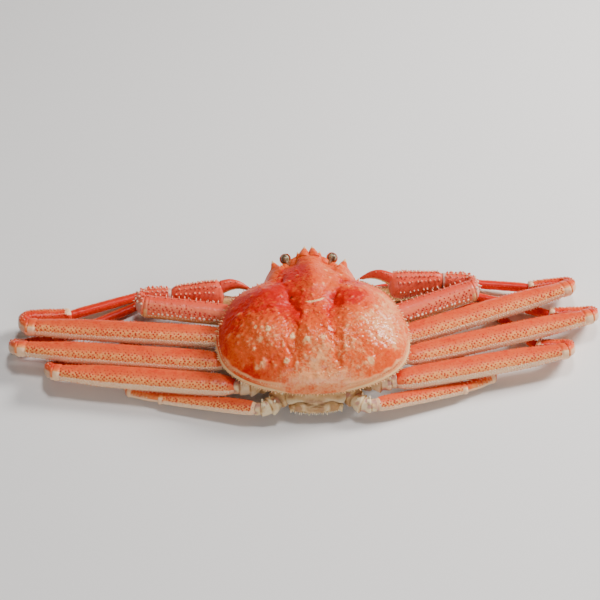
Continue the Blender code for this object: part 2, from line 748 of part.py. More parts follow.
def make_leg(name, side, limb):
    """The merus, carpus, propodus and dactyl of a walking leg."""
    last_leg = name.endswith("4")
    scales = LAST_LEG_SCALES if last_leg else dict.fromkeys(LEG_SIZES, 1.0)
    sizes = [scaled(LEG_SIZES[key], scales[key]) for key in LEG_SIZES]
    rows, _ = limb_rows(side, limb, "leg", sizes, [PROFILES[key] for key in LEG_SIZES])
    merus, *_ = [section_solid(name + "_" + key, row, "leg", SEGMENT_SIDES[key], SQUARENESS)
                 for key, row in zip(LEG_SIZES, rows)]
    kind = "last_leg_merus" if last_leg else "leg_merus"
    combine(merus, limb_spines(rows[0], kind, "leg", random.Random(name)), "UNION")


def finger_sections(start, palm, along, level, length, bulge):
    """Sections of a curved finger from the palm's end, above its middle at 1 and below at -1."""
    sections = []
    for share, offset, size in FINGER_PROFILE:
        rise = level * (offset + bulge * math.sin(math.pi * share))
        place = start + along * (length * share) + upward(palm) * rise
        sections.append(Section(place, palm.wide, palm.high, *scaled(FINGER_SIZE, size)))
    return sections


def make_claw(name, side, limb):
    """The merus, carpus, palm with its fixed finger, and movable finger of a claw."""
    profiles = [PROFILES["claw_merus"], PROFILES["carpus"], PROFILES["palm"]]
    rows, along = limb_rows(side, limb, "claw", list(CLAW_SIZES.values()), profiles)
    merus, carpus, palm = [section_solid(name + "_" + key, row, "claw", SEGMENT_SIDES[key], SQUARENESS)
                           for key, row in zip(CLAW_SIZES, rows)]
    end = rows[-1][-1]
    onward = segment_vector(side, limb.tip, end.middle.z)
    fixed = finger_sections(end.middle, end, onward, -1.0, limb.tip.length, FINGER_BULGE["fixed"])
    fixed.insert(0, fixed[0]._replace(middle=fixed[0].middle - along * FINGER_ROOT))
    combine(palm, [section_solid("fixed_finger", fixed, "claw", 8)], "UNION")
    dice = random.Random(name)
    for key, segment, row in zip(CLAW_SIZES, (merus, carpus, palm), rows):
        combine(segment, limb_spines(row, "claw_" + key, "claw", dice), "UNION")
    start = end.middle + along * GAP
    moving = finger_sections(start, end, onward, 1.0, limb.tip.length, FINGER_BULGE["finger"])
    section_solid(name + "_finger", moving, "claw", 8)


def make_limbs(body, shell, abdomen):
    """All the limbs, with their bases cut back to the body, shell and abdomen."""
    for name, limb in LIMBS.items():
        side = -1.0 if "_left" in name else 1.0
        last_leg = name.endswith("4")
        base = make_base(name, side, limb, LAST_BASE_SCALE if last_leg else 1.0)
        trim(base, [body, shell, abdomen] if last_leg else [body, shell])
        if name.startswith("claw"):
            make_claw(name, side, limb)
        else:
            make_leg(name, side, limb)


def make_crab():
    """The whole crab, each part an object of its own."""
    shell = make_shell()
    abdomen, flap = make_abdomen()
    body = make_body()
    trim(body, [abdomen, flap])
    for side, word in ((-1.0, "left"), (1.0, "right")):
        trim(make_eye("eye_" + word, side), [shell])
        trim(make_feeler("antenna_" + word, side), [shell])
        trim(make_mouthpart("maxilliped_" + word, side), [body, shell])
    make_limbs(body, shell, abdomen)
    for made in bpy.context.scene.objects:
        shade_round(made)


clear_scene()
make_crab()
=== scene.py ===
"""The looks of a life-size tanner crab that lies on its belly with legs and claws folded.

Lengths are in millimetres and angles in degrees until a skin becomes a mesh. The crab faces +Y,
left is at -X, and each fine piece takes the place of the solid of the same name.
"""

import math
import random
from collections import namedtuple

import bmesh
import bpy
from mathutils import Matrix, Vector, noise


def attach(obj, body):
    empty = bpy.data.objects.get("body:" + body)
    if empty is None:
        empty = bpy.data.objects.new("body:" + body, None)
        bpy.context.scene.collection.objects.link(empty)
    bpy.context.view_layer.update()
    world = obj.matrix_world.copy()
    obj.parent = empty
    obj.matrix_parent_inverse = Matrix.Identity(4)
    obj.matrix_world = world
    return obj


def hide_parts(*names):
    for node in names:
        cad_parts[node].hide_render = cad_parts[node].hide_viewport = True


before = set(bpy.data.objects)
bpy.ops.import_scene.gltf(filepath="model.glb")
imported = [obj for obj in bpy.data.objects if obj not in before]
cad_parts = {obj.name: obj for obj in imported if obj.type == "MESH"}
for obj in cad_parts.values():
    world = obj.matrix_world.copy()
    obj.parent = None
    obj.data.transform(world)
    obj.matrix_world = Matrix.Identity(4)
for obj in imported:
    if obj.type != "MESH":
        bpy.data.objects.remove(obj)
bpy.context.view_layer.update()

MM = 0.001
GAP = 0.3
SEED = 41
UP = Vector((0.0, 0.0, 1.0))
ACROSS = Vector((1.0, 0.0, 0.0))

# The photograph's view: azimuth from straight behind, elevation, distance and the point looked at
VIEW_AZIMUTH = -2.2
VIEW_ELEVATION = 45.0
VIEW_DISTANCE = 940.0
VIEW_TARGET = Vector((-5.5, 53.1, 0.0))
VIEW_LENS = 91.0
SENSOR = 36.0

# Square lights: name, place and size in metres, power and colour. Then the sky and the floor.
LIGHTS = (
    ("window", (0.88, 0.42, 0.70), 0.40, 23.0, (1.0, 0.97, 0.94)),
    ("overhead", (0.10, 0.15, 1.15), 0.22, 7.0, (1.0, 0.98, 0.97)),
    ("rear", (0.10, -1.10, 0.60), 0.60, 6.0, (1.0, 0.98, 0.97)),
)
SKY = {"Color": (0.95, 0.97, 1.0, 1.0), "Strength": 0.10}
FLOOR_REACH = 6.0
FLOOR_LOOK = {"Base Color": (0.80, 0.79, 0.78, 1.0), "Roughness": 0.6}

# Driving sizes of the shell
SHELL_CROWN = 43.4
SHELL_SEAM = 17.5
SHELL_MIDDLE = Vector((0.0, 2.0, 0.0))
BODY_TOP = SHELL_SEAM - GAP

# Where the shape of the shell's rear passes into that of its front, and how full and how round the
# fall from its back to its edge is in each
SHELL_FRONT = (30.0, 55.0)
SHELL_FULLNESS = (2.9, 2.1)
SHELL_ROUNDNESS = (0.60, 0.80)

# The front of the back lies lower along its middle line: by how much, where that fades in from
# behind and from the edge, and half its width
KEEL_DROP = 0.9
KEEL_COURSE = (14.0, 34.0)
KEEL_END = (1.0, 0.88)
KEEL_WIDTH = 4.0

# Half of the shell's edge, front to back: across, forward, height
SHELL_EDGE = (
    (0.0, 60.5, 32.5),
    (6.5, 60.0, 31.0),
    (9.5, 54.8, 29.0),
    (17.0, 53.4, 27.5),
    (20.8, 56.0, 28.0),
    (25.4, 47.5, 27.0),
    (28.6, 40.8, 26.0),
    (37.0, 36.4, 25.0),
    (47.6, 26.4, 24.5),
    (54.6, 8.0, 24.0),
    (56.0, -7.0, 23.5),
    (51.8, -22.6, 22.5),
    (40.0, -33.6, 21.6),
    (22.0, -40.8, 21.0),
    (0.0, -43.2, 21.0),
)

# Steps between the edge's points, and the few that are enough to place the tubercles
EDGE_STEPS = 19
COARSE_STEPS = 2

# The edge's own bends reach inwards to this share of the way from the shell's middle. Inside it, each
# point of the edge counts as the middle of its neighbours, up to this many on both sides.
CALM_SHARE = 0.72
CALM_REACH = 30

# Rings of the back, and those of the turned-in underside: share of the way out, how far down
BACK_RINGS = 118
UNDER_RINGS = ((0.80, 1.0), (0.86, 1.0), (0.90, 0.85), (0.93, 0.7), (0.955, 0.5), (0.975, 0.35),
               (0.99, 0.15))

# Swellings and furrows of the shell's back: across, forward, half width, half length, height.
# Those away from the middle line are on both sides.
SHELL_REGIONS = (
    (0.0, 28.0, 15.0, 17.0, 3.4),
    (0.0, -16.0, 11.0, 11.0, 2.2),
    (30.0, -8.0, 17.0, 21.0, 3.2),
    (30.0, 19.0, 10.0, 9.0, 2.4),
    (12.5, 9.0, 5.0, 12.0, -3.2),
    (21.0, 33.0, 7.0, 6.0, -2.0),
    (12.0, -20.0, 3.5, 12.0, -1.8),
    (0.0, -34.0, 16.0, 6.0, -2.5),
)

# Furrows too narrow for the solids, right side: start, end, half width, depth. Then how far they
# wander from their straight lines.
FURROWS = (
    ((19.0, 31.0), (13.0, 14.0), 1.8, 1.0),
    ((13.0, 14.0), (8.0, -2.0), 1.5, 0.9),
    ((8.0, -2.0), (10.5, -17.0), 1.0, 0.6),
    ((10.5, -17.0), (14.0, -33.0), 1.0, 0.5),
    ((13.0, 8.0), (30.0, 4.0), 1.8, 0.4),
    ((16.0, -5.0), (14.5, -26.0), 0.9, 0.6),
    ((15.0, 48.0), (19.0, 31.0), 2.4, 0.9),
    ((3.5, 53.8), (10.0, 51.5), 0.8, 0.9),
)
FURROW_BEND = 2.2

# The roof-like ridge of the rostrum: start, end, half width, height
ROSTRUM_RIDGE = ((0.5, 55.0), (1.0, 22.0), 5.0, 1.3)

# Horns of the rostrum and teeth beside the eyes, right side: root, tip, root radius. Then how much
# thicker their skin is than that radius, so that they rise broad from the shell.
SHELL_HORNS = (
    (Vector((3.0, 56.5, 31.5)), Vector((2.2, 67.2, 32.4)), 3.0),
    (Vector((5.4, 56.2, 31.0)), Vector((7.0, 61.4, 33.2)), 1.9),
    (Vector((15.6, 49.4, 28.6)), Vector((17.2, 53.8, 30.4)), 1.5),
    (Vector((19.6, 50.0, 27.0)), Vector((22.4, 58.6, 29.0)), 2.8),
)
HORN_FULLNESS = 1.35

# The blunt brow between the rostrum and an eye, and the floor of the eye's notch, right side: one
# end, other end, radius
BROWS = (
    (Vector((4.2, 58.2, 29.6)), Vector((11.8, 54.8, 28.0)), 3.3),
    (Vector((12.5, 46.5, 27.0)), Vector((14.7, 57.4, 26.0)), 3.3),
)

# Marks of the shell's back, with how high they rise and how pale they are
PaleMark = namedtuple("PaleMark", "across forward radius rise paleness")
PALE_MARKS = (
    PaleMark(-26.2, -12.7, 1.5, 0.5, 1.0),
    PaleMark(-33.3, -9.8, 1.1, 0.5, 0.9),
    PaleMark(-12.7, -17.5, 1.5, 0.5, 1.0),
    PaleMark(-4.1, -20.6, 1.6, 0.5, 1.0),
    PaleMark(5.0, -20.3, 1.2, 0.5, 0.8),
    PaleMark(-30.3, -18.0, 1.3, 0.3, 0.5),
    PaleMark(-43.0, -11.4, 1.5, 0.7, 0.5),
    PaleMark(-48.7, -8.0, 1.4, 0.7, 0.3),
    PaleMark(-16.4, -30.8, 1.6, 0.7, 0.9),
    PaleMark(-32.0, -31.3, 2.3, 0.5, 0.3),
    PaleMark(-29.0, -30.6, 1.9, 0.4, 0.3),
    PaleMark(-40.9, -28.1, 1.4, 0.5, 0.4),
    PaleMark(-42.7, 5.2, 1.2, 0.6, 0.3),
    PaleMark(31.5, -29.9, 1.8, 0.4, 0.7),
    PaleMark(45.8, -18.9, 1.3, 0.5, 0.4),
    PaleMark(46.1, 7.1, 1.2, 0.5, 0.3),
    PaleMark(-0.3, -32.5, 2.2, 0.2, 0.4),
    PaleMark(3.2, -29.0, 1.9, 0.2, 0.5),
)

# The crescent mark: middle and radius of its arc, the bearing of the arc's own middle, how far from
# there it ends and is full, and its half width at its ends and in full. Then the pits beside it.
CRESCENT_MIDDLE = Vector((-1.2, 17.5))
CRESCENT_RADIUS = 10.3
CRESCENT_BEARING = 17.0
CRESCENT_ENDS = (50.0, 20.0)
CRESCENT_WIDTHS = (0.3, 0.75)
PITS = ((-12.0, 14.4), (12.0, 13.3))

# Where the rim is pale: from where behind and from how far aside, none and full. Then the height of
# the groove inside it over the edge, and of the pale rim itself elsewhere and there.
RIM_BEHIND = (2.0, -16.0)
RIM_ASIDE = (12.0, 26.0)
RIM_GROOVE = 2.6
RIM_HEIGHTS = (1.2, 2.0)

# The ridge inside the rim: from where behind and from how far aside, and its height over the edge
RIDGE_BEHIND = (-12.0, -24.0)
RIDGE_ASIDE = (10.0, 20.0)
RIDGE_HEIGHT = 4.6

# Granules and wrinkles all over the shell's back: spacing and height of the granules, height, size
# and shift of the wrinkles' patterns, where both fade out towards the front, and what is left there
GRANULES = ((2.9, 0.60), (1.8, 0.45))
GRANULES_FROM = (20.0, 0.0)
WRINKLES = ((0.55, 7.0, (0.0, 0.0)), (0.40, 3.4, (7.0, 0.0)), (0.26, 1.8, (0.0, 9.0)))
WRINKLES_FROM = (22.0, 0.0)
SMOOTH_FRONT = 0.3

# Where the shell's back is deep red, or peach at less than 0: across, forward, half width,
# half length, strength. The peach on the right lobe is painted light.
RED_REGIONS = (
    (-25.0, 12.0, 17.0, 12.0, 1.1),
    (22.0, 12.0, 13.0, 9.0, 1.15),
    (-9.0, -2.0, 8.0, 9.0, 0.55),
    (9.0, -1.0, 6.0, 9.0, 0.5),
    (-9.0, 38.0, 6.5, 13.0, 0.75),
    (-17.0, 30.0, 8.0, 10.0, 0.35),
    (27.0, 29.0, 7.0, 6.0, 0.7),
    (-35.0, -33.0, 15.0, 5.0, 0.7),
    (-50.0, 0.0, 10.0, 22.0, 0.35),
    (43.0, -26.0, 10.0, 5.0, 0.35),
    (7.0, 34.0, 5.0, 13.0, -0.15),
    (20.0, 42.0, 7.0, 8.0, -0.1),
    # Painted light: the right lobe paler and peach where the window light falls on it
    (40.0, -6.0, 13.0, 15.0, -0.52),
    (45.0, 15.0, 7.0, 9.0, -0.4),
    (0.0, 33.0, 8.0, 12.0, 0.45),
    (5.0, -25.0, 15.0, 9.0, -0.35),
    (0.0, -39.0, 26.0, 6.0, -0.8),
    (-27.0, -14.0, 13.0, 9.0, -0.3),
)

# How red the shell is elsewhere, and how much redder it gets with each millimetre to the left:
# painted shade on its left side and painted light on its right
SHELL_REDNESS = 0.2
PAINTED_SHADE_TO_LEFT = 0.004

# Where the shell's back is wet and where fine grains cover it, none and full
WET_BEHIND = (10.0, -8.0)
WET_RIGHT = (-32.0, 8.0)
GRAINY_BEHIND = (5.0, -25.0)

# Sections of the body below the shell: height, share of the edge's width, share of its length
BODY_SECTIONS = (
    (0.0, 0.41, 0.47),
    (0.8, 0.47, 0.54),
    (3.0, 0.54, 0.62),
    (8.0, 0.63, 0.70),
    (14.5, 0.72, 0.76),
    (BODY_TOP, 0.83, 0.83),
)

# Bearings of the furrows between the body's plates
BODY_FURROWS = (38.0, 66.0, 92.0, 118.0, 146.0)

# The abdomen's fold, from under the shell's back edge round to its tip under the belly:
# forward, height, half width, half thickness
ABDOMEN_COURSE = (
    (-31.0, 13.2, 15.0, 2.8),
    (-36.5, 13.5, 16.8, 3.0),
    (-41.2, 11.5, 17.8, 2.8),
    (-42.9, 7.5, 16.8, 2.4),
    (-41.4, 3.9, 14.8, 2.2),
    (-35.5, 1.9, 14.0, 1.9),
    (-24.0, 1.6, 12.0, 1.7),
    (-6.0, 1.6, 9.5, 1.7),
    (8.0, 1.6, 8.0, 1.7),
    (14.0, 1.6, 4.5, 1.7),
)

# Station at which the flap under the belly begins, and how square the abdomen's sections are
ABDOMEN_PARTING = 5
ABDOMEN_SQUARENESS = 0.7

# A straight segment: length, heading, height of its far end's middle
Segment = namedtuple("Segment", "length heading end_height")

# A limb from the hip out. The tilt is how steeply the fold at its knee leans down.
Limb = namedtuple("Limb", "hip merus tilt carpus hand tip")

LIMBS = {
    "leg_left_1": Limb((51.0, 9.2, 14.0), Segment(117.5, 6.2, 15.0), 20.0,
                       Segment(23.5, 170.0, 7.5), Segment(56.0, 155.5, 3.0), Segment(42.0, 196.0, 0.9)),
    "leg_left_2": Limb((53.0, -10.8, 14.0), Segment(120.5, 7.8, 13.6), 42.0,
                       Segment(24.0, 164.0, 4.4), Segment(60.0, 149.0, 3.0), Segment(42.0, 196.0, 0.9)),
    "leg_left_3": Limb((46.0, -29.0, 13.5), Segment(105.5, 8.7, 12.4), 38.0,
                       Segment(20.0, 163.0, 4.0), Segment(52.0, 150.0, 3.0), Segment(38.0, 182.0, 0.9)),
    "leg_left_4": Limb((34.0, -43.0, 9.6), Segment(57.0, 14.0, 6.2), 0.0,
                       Segment(20.0, 21.0, 4.2), Segment(28.0, 150.0, 2.6), Segment(22.0, 162.0, 0.8)),
    "leg_right_1": Limb((51.0, 5.4, 14.0), Segment(112.0, 19.1, 15.0), 34.0,
                        Segment(19.5, 183.0, 7.0), Segment(60.0, 168.0, 3.0), Segment(43.0, 184.0, 0.9)),
    "leg_right_2": Limb((53.0, -10.8, 14.0), Segment(117.5, 14.6, 13.6), 38.0,
                        Segment(20.5, 177.0, 5.0), Segment(61.0, 156.0, 2.7), Segment(44.0, 188.0, 0.9)),
    "leg_right_3": Limb((46.5, -28.4, 13.5), Segment(103.5, 11.3, 13.0), 36.0,
                        Segment(14.0, 172.0, 4.8), Segment(44.0, 126.0, 2.9), Segment(37.0, 172.0, 0.9)),
    "leg_right_4": Limb((34.0, -42.8, 9.6), Segment(55.0, 15.0, 6.4), 0.0,
                        Segment(20.0, 27.0, 4.4), Segment(28.0, 150.0, 2.6), Segment(22.0, 162.0, 0.8)),
    "claw_left": Limb((45.5, 26.4, 14.5), Segment(54.5, 8.5, 17.0), 23.0,
                      Segment(15.0, 179.0, 13.0), Segment(29.0, 180.0, 12.9), Segment(19.5, 176.0, 13.6)),
    "claw_right": Limb((46.0, 21.0, 14.5), Segment(55.5, 19.8, 17.0), 25.0,
                       Segment(15.5, 172.0, 12.8), Segment(31.0, 187.5, 13.4), Segment(20.5, 160.0, 13.0)),
}

# Where each limb's base leaves the body, for the right side: across, forward, height
BASE_ROOTS = {
    "claw": Vector((26.0, 20.0, 10.5)),
    "leg_1": Vector((29.0, 7.0, 10.5)),
    "leg_2": Vector((29.0, -7.0, 10.0)),
    "leg_3": Vector((26.0, -20.0, 10.0)),
    "leg_4": Vector((17.5, -27.0, 9.5)),
}

# Half width and half height of a base's sections, from the body to the hip, and how far the last
# one reaches past the hip
BASE_SIZES = ((6.6, 6.0), (6.4, 5.9), (5.4, 4.9), (5.9, 4.7), (4.6, 3.8), (4.3, 3.2))
BASE_OVERLAP = 0.6
LAST_BASE_SCALE = 0.86

# Joints between a base's plates, steps along it, where round it its spines stand, and their root
# radius and height
BASE_JOINTS = (0.0, 0.40, 0.64, 0.86, 1.0)
BASE_STEPS = 96
BASE_SPINES = (66.0, 112.0)
BASE_SPINE_SIZE = (0.9, 2.8)

# How deep or, at less than 0, light the colour of each plate of a base is, and how mauve
PLATE_DEPTHS = (0.55, -0.35, -0.7, 0.1)
PLATE_MAUVES = (0.1, 0.0, 0.15, 0.6)

# Half width and half height of each segment at its thickest
LEG_SIZES = {"merus": (7.3, 5.1), "carpus": (5.0, 4.2), "propodus": (3.5, 2.9), "dactyl": (2.7, 2.4)}
LAST_LEG_SCALES = {"merus": 0.66, "carpus": 0.72, "propodus": 0.78, "dactyl": 0.85}
CLAW_SIZES = {"merus": (6.6, 6.8), "carpus": (5.5, 6.1), "palm": (6.4, 8.6)}
FINGER_SIZE = (3.6, 4.2)
SQUARENESS = 0.92

# Share of a segment's length and share of its size at each section
PROFILES = {
    "merus": ((0.0, 0.60), (0.02, 0.76), (0.05, 0.90), (0.10, 0.99), (0.2, 1.02), (0.5, 1.0), (0.8, 0.94),
              (0.955, 0.87), (0.975, 0.95), (1.0, 0.92)),
    "carpus": ((0.0, 0.90), (0.35, 1.02), (0.75, 0.94), (1.0, 0.84)),
    "propodus": ((0.0, 0.86), (0.1, 1.0), (0.4, 0.98), (0.9, 0.86), (1.0, 0.88)),
    "dactyl": ((0.0, 0.92), (0.15, 1.0), (0.5, 0.8), (0.8, 0.5), (1.0, 0.2)),
    "claw_merus": ((0.0, 0.60), (0.03, 0.86), (0.1, 0.96), (0.5, 1.0), (0.93, 0.98), (0.97, 1.04),
                   (1.0, 0.96)),
    "palm": ((0.0, 0.56), (0.03, 0.68), (0.1, 0.78), (0.4, 0.92), (0.75, 1.08), (0.92, 1.10), (1.0, 1.0)),
}

# Station of the groove before the cap of a merus, distance between the sections of a segment, how far
# its profile is blurred, points round a section, and height of a limb's granules
MERUS_GROOVE = 0.962
PROFILE_STEP = 0.9
PROFILE_BLUR = 0.012
TUBE_SIDES = 56
LIMB_RELIEF = 0.25

# Finger sections: share of the length, distance from the palm's middle line, share of the size. Then
# how far each finger bulges outwards, how deep the fixed one starts in the palm, the steps between
# its sections, how full a finger's root is, and how far the palm's end bulges between the fingers.
FINGER_PROFILE = ((0.0, 4.6, 1.0), (0.3, 4.5, 0.84), (0.6, 3.5, 0.60), (0.85, 1.9, 0.34), (1.0, 0.9, 0.14))
FINGER_BULGE = {"finger": 1.9, "fixed": 0.9}
FINGER_ROOT = 4.0
FINGER_STEPS = 8
FINGER_FULLNESS = 1.12
PALM_BULGE = 2.6

# A joint that turns by more than this many degrees folds round a pivot beside the limb. Then the
# steps round the fold, the room between pivot and limb, and how thin the limb is halfway round.
SHARP_TURN = 60.0
FOLD_STEPS = 22
FOLD_ROOM = {"leg": 0.5, "claw": 0.4}
FOLD_PINCH = {"leg": 0.68, "claw": 0.56}

# Teeth along each half of the shell's rim: first and last share of the edge, spacing, root radius,
# height, tone, how far they lie inside the edge and how far up they lean
RimTeeth = namedtuple("RimTeeth", "first last spacing radius height tone inset lean")
RIM_TEETH = (
    RimTeeth(0.43, 0.66, 2.6, 0.95, 1.4, -0.5, 0.0, 0.2),
    RimTeeth(0.40, 0.66, 3.1, 0.80, 1.0, -0.4, 0.035, 1.1),
    RimTeeth(0.64, 0.84, 1.35, 0.58, 1.0, -0.9, 0.0, 0.1),
    RimTeeth(0.84, 1.0, 1.7, 0.72, 1.05, -0.75, 0.0, -0.35),
    RimTeeth(0.66, 0.94, 1.6, 0.48, 0.5, -0.8, 0.020, 0.7),
)

# Low tubercles over each half of the shell's back: number, least distance apart, radius and height,
# the field across and forward in which they lie, how far out they reach, and the middle of the back,
# where only a share of them is kept
TUBERCLES = 26
TUBERCLE_SPACING = 6.0
TUBERCLE_SIZE = (1.0, 0.55)
TUBERCLE_FIELD = ((-50.0, 50.0), (-34.0, 44.0))
TUBERCLE_REACH = 0.9
BARE_MIDDLE = 24.0
KEPT_IN_MIDDLE = 0.3

# A row of grains or spines along a segment: angle round its section from the inner side of the
# fold up, first and last share of the row, spacing, root radius, height, tone from white at -1 to
# dark red at 1, and kind
Row = namedtuple("Row", "angle first last spacing radius height tone kind")
GRAIN = 1.0
SPINE = 2.0

# How deep a root of each kind sinks into the skin, in radii
SINKS = {GRAIN: 0.1, SPINE: 0.3}
LEG_DOTS = tuple(
    Row(angle, 0.03, 0.96, 2.7, radius, height, tone, GRAIN) for angle, radius, height, tone in (
        (72.0, 0.34, 0.18, 0.6), (88.0, 0.42, 0.20, 0.8), (103.0, 0.50, 0.22, 0.9), (116.0, 0.56, 0.25, 1.0),
        (128.0, 0.56, 0.26, 1.0), (139.0, 0.52, 0.26, 0.9), (149.0, 0.44, 0.26, 0.7)))
LEG_BEADS = tuple(
    Row(angle, 0.02, 0.96, 1.75, radius, height, tone, GRAIN) for angle, radius, height, tone in (
        (157.0, 0.42, 0.34, -0.8), (165.0, 0.46, 0.38, -0.9), (173.0, 0.46, 0.40, -1.0),
        (182.0, 0.44, 0.38, -0.9)))
ROWS = {
    "merus": LEG_DOTS + LEG_BEADS + (
        Row(196.0, 0.03, 0.96, 1.9, 0.5, 0.9, -1.0, SPINE),
        Row(40.0, 0.03, 0.96, 1.9, 0.42, 0.6, 0.3, SPINE),
        Row(22.0, 0.03, 0.96, 1.9, 0.4, 0.3, 0.4, GRAIN),
    ),
    "carpus": (
        Row(104.0, 0.30, 0.97, 1.9, 0.5, 0.9, -0.3, SPINE),
        Row(78.0, 0.3, 0.97, 2.1, 0.45, 0.7, 0.3, SPINE),
        Row(52.0, 0.3, 0.97, 2.1, 0.4, 0.4, 0.6, GRAIN),
        Row(130.0, 0.3, 0.97, 2.0, 0.45, 0.4, 0.8, GRAIN),
        Row(155.0, 0.3, 0.97, 1.7, 0.42, 0.4, -0.7, GRAIN),
        Row(66.0, 0.04, 0.30, 1.7, 0.45, 0.6, 0.4, GRAIN),
        Row(88.0, 0.04, 0.30, 1.8, 0.5, 0.7, -0.3, GRAIN),
        Row(108.0, 0.04, 0.30, 1.9, 0.5, 0.6, 0.5, GRAIN),
        Row(58.0, 0.88, 0.97, 1.2, 0.6, 1.3, -1.0, SPINE),
        Row(100.0, 0.88, 0.97, 1.2, 0.6, 1.3, -1.0, SPINE),
        Row(138.0, 0.88, 0.97, 1.2, 0.6, 1.0, -1.0, SPINE),
    ),
    "propodus": (
        Row(120.0, 0.04, 0.95, 2.4, 0.32, 0.26, 0.6, GRAIN),
        Row(150.0, 0.04, 0.95, 2.2, 0.30, 0.26, 0.4, GRAIN),
        Row(35.0, 0.04, 0.95, 2.2, 0.28, 0.22, 0.4, GRAIN),
    ),
    "dactyl": (),
    "last_merus": LEG_DOTS[1:] + LEG_BEADS[1:] + (
        Row(40.0, 0.03, 0.96, 1.9, 0.36, 0.4, 0.3, SPINE),
    ),
    "claw_merus": (
        Row(170.0, 0.10, 0.93, 2.7, 0.90, 0.85, -1.0, GRAIN),
        Row(159.0, 0.14, 0.93, 3.0, 0.66, 0.50, -0.35, GRAIN),
        Row(184.0, 0.06, 0.96, 1.8, 0.45, 0.4, -0.9, GRAIN),
        Row(149.0, 0.16, 0.95, 2.9, 0.62, 0.45, 0.8, GRAIN),
        Row(138.0, 0.30, 0.95, 3.0, 0.62, 0.45, 0.9, GRAIN),
        Row(125.0, 0.42, 0.95, 3.2, 0.55, 0.40, 0.8, GRAIN),
        Row(106.0, 0.50, 0.95, 4.2, 0.42, 0.30, 0.5, GRAIN),
        Row(72.0, 0.14, 0.97, 3.3, 0.65, 1.1, -0.3, SPINE),
        Row(40.0, 0.18, 0.96, 3.4, 0.7, 1.5, -0.5, SPINE),
        Row(12.0, 0.18, 0.96, 2.8, 0.5, 0.6, 0.4, GRAIN),
    ),
    "claw_carpus": (
        Row(150.0, 0.15, 0.93, 2.4, 0.8, 1.5, -0.8, SPINE),
        Row(126.0, 0.15, 0.93, 2.5, 0.75, 1.2, 0.3, GRAIN),
        Row(102.0, 0.2, 0.95, 2.6, 0.9, 1.5, -0.7, SPINE),
        Row(76.0, 0.2, 0.95, 2.8, 0.85, 1.5, -0.5, SPINE),
        Row(52.0, 0.3, 0.95, 2.3, 0.6, 1.0, 0.4, SPINE),
        Row(176.0, 0.15, 0.9, 2.1, 0.6, 0.7, -0.9, GRAIN),
        Row(74.0, 0.0, 0.20, 2.0, 0.80, 0.9, 0.3, GRAIN),
        Row(98.0, 0.0, 0.22, 2.1, 0.95, 0.8, -0.3, GRAIN),
        Row(128.0, 0.0, 0.22, 2.0, 0.85, 0.7, -0.6, GRAIN),
    ),
    "palm": (
        Row(47.0, 0.08, 0.95, 2.6, 1.05, 2.3, -0.3, SPINE),
        Row(74.0, 0.10, 0.95, 2.8, 0.90, 1.7, -0.4, SPINE),
        Row(104.0, 0.08, 0.95, 2.5, 0.95, 1.6, -0.9, SPINE),
        Row(148.0, 0.10, 0.94, 2.6, 0.95, 1.6, -0.9, SPINE),
        Row(66.0, 0.1, 0.93, 2.6, 0.45, 0.4, 0.9, GRAIN),
        Row(95.0, 0.1, 0.93, 2.4, 0.48, 0.4, 0.9, GRAIN),
        Row(124.0, 0.1, 0.93, 2.4, 0.48, 0.4, 0.8, GRAIN),
        Row(137.0, 0.1, 0.93, 2.4, 0.48, 0.4, 0.8, GRAIN),
        Row(163.0, 0.1, 0.93, 2.0, 0.45, 0.4, -0.4, GRAIN),
        Row(14.0, 0.08, 0.92, 2.8, 0.70, 1.5, -0.7, SPINE),
        Row(-18.0, 0.08, 0.92, 2.8, 0.60, 1.1, -0.8, SPINE),
    ),
}

# Rows of a claw's movable finger: the teeth of its inner edge and the spines on its back
FINGER_TEETH = Row(270.0, 0.12, 0.95, 1.3, 0.55, 0.7, -0.6, GRAIN)
FINGER_SPINES = Row(70.0, 0.0, 0.5, 2.4, 0.5, 0.8, -0.4, SPINE)

# Round a section, where a segment is pale: first and last angle
PALE_SIDES = {
    "merus": (156.0, 318.0),
    "last_merus": (150.0, 318.0),
    "carpus": (168.0, 300.0),
    "propodus": (195.0, 290.0),
    "dactyl": (200.0, 280.0),
    "claw_merus": (178.0, 330.0),
    "claw_carpus": (182.0, 300.0),
    "palm": (176.0, 345.0),
}

# How red each kind of segment is. The propodus and dactyl are their own red, deepened further as painted
# shade.
REDNESS_AND_PAINTED_SHADE = {"merus": 0.0, "last_merus": -0.1, "carpus": 0.3, "propodus": 0.6, "dactyl": 0.5,
           "claw_merus": 0.05, "claw_carpus": -0.05, "palm": -0.1}

# Steps between the abdomen's sections, and the stations of its joints, of the crease in its middle
# plate and of that plate's toothed lip
ABDOMEN_STEPS = 20
ABDOMEN_JOINTS = (0.9, 5.0, 6.0, 7.0, 8.0)
ABDOMEN_CREASE = 1.95
ABDOMEN_LIP = 2.97

# Teeth along the lip: number, length and root radius. Then the lobe at each end of the lip.
FRINGE = (27, 1.3, 0.6)
LOBE_STATION = 2.6
LOBE_RADIUS = 1.7

# Eyes, mouthparts and feelers, for the right side
EYE_ROOT = Vector((10.5, 52.6, 27.4))
EYE_MIDDLE = Vector((14.4, 59.0, 29.9))
EYE_RADIUS = 2.6
EYE_STALK_RADIUS = 1.7

# Angles over an eye's equator from its stalk to its top, and the rings between them
EYE_SPAN = (-52.0, 87.0)
EYE_RINGS = 28

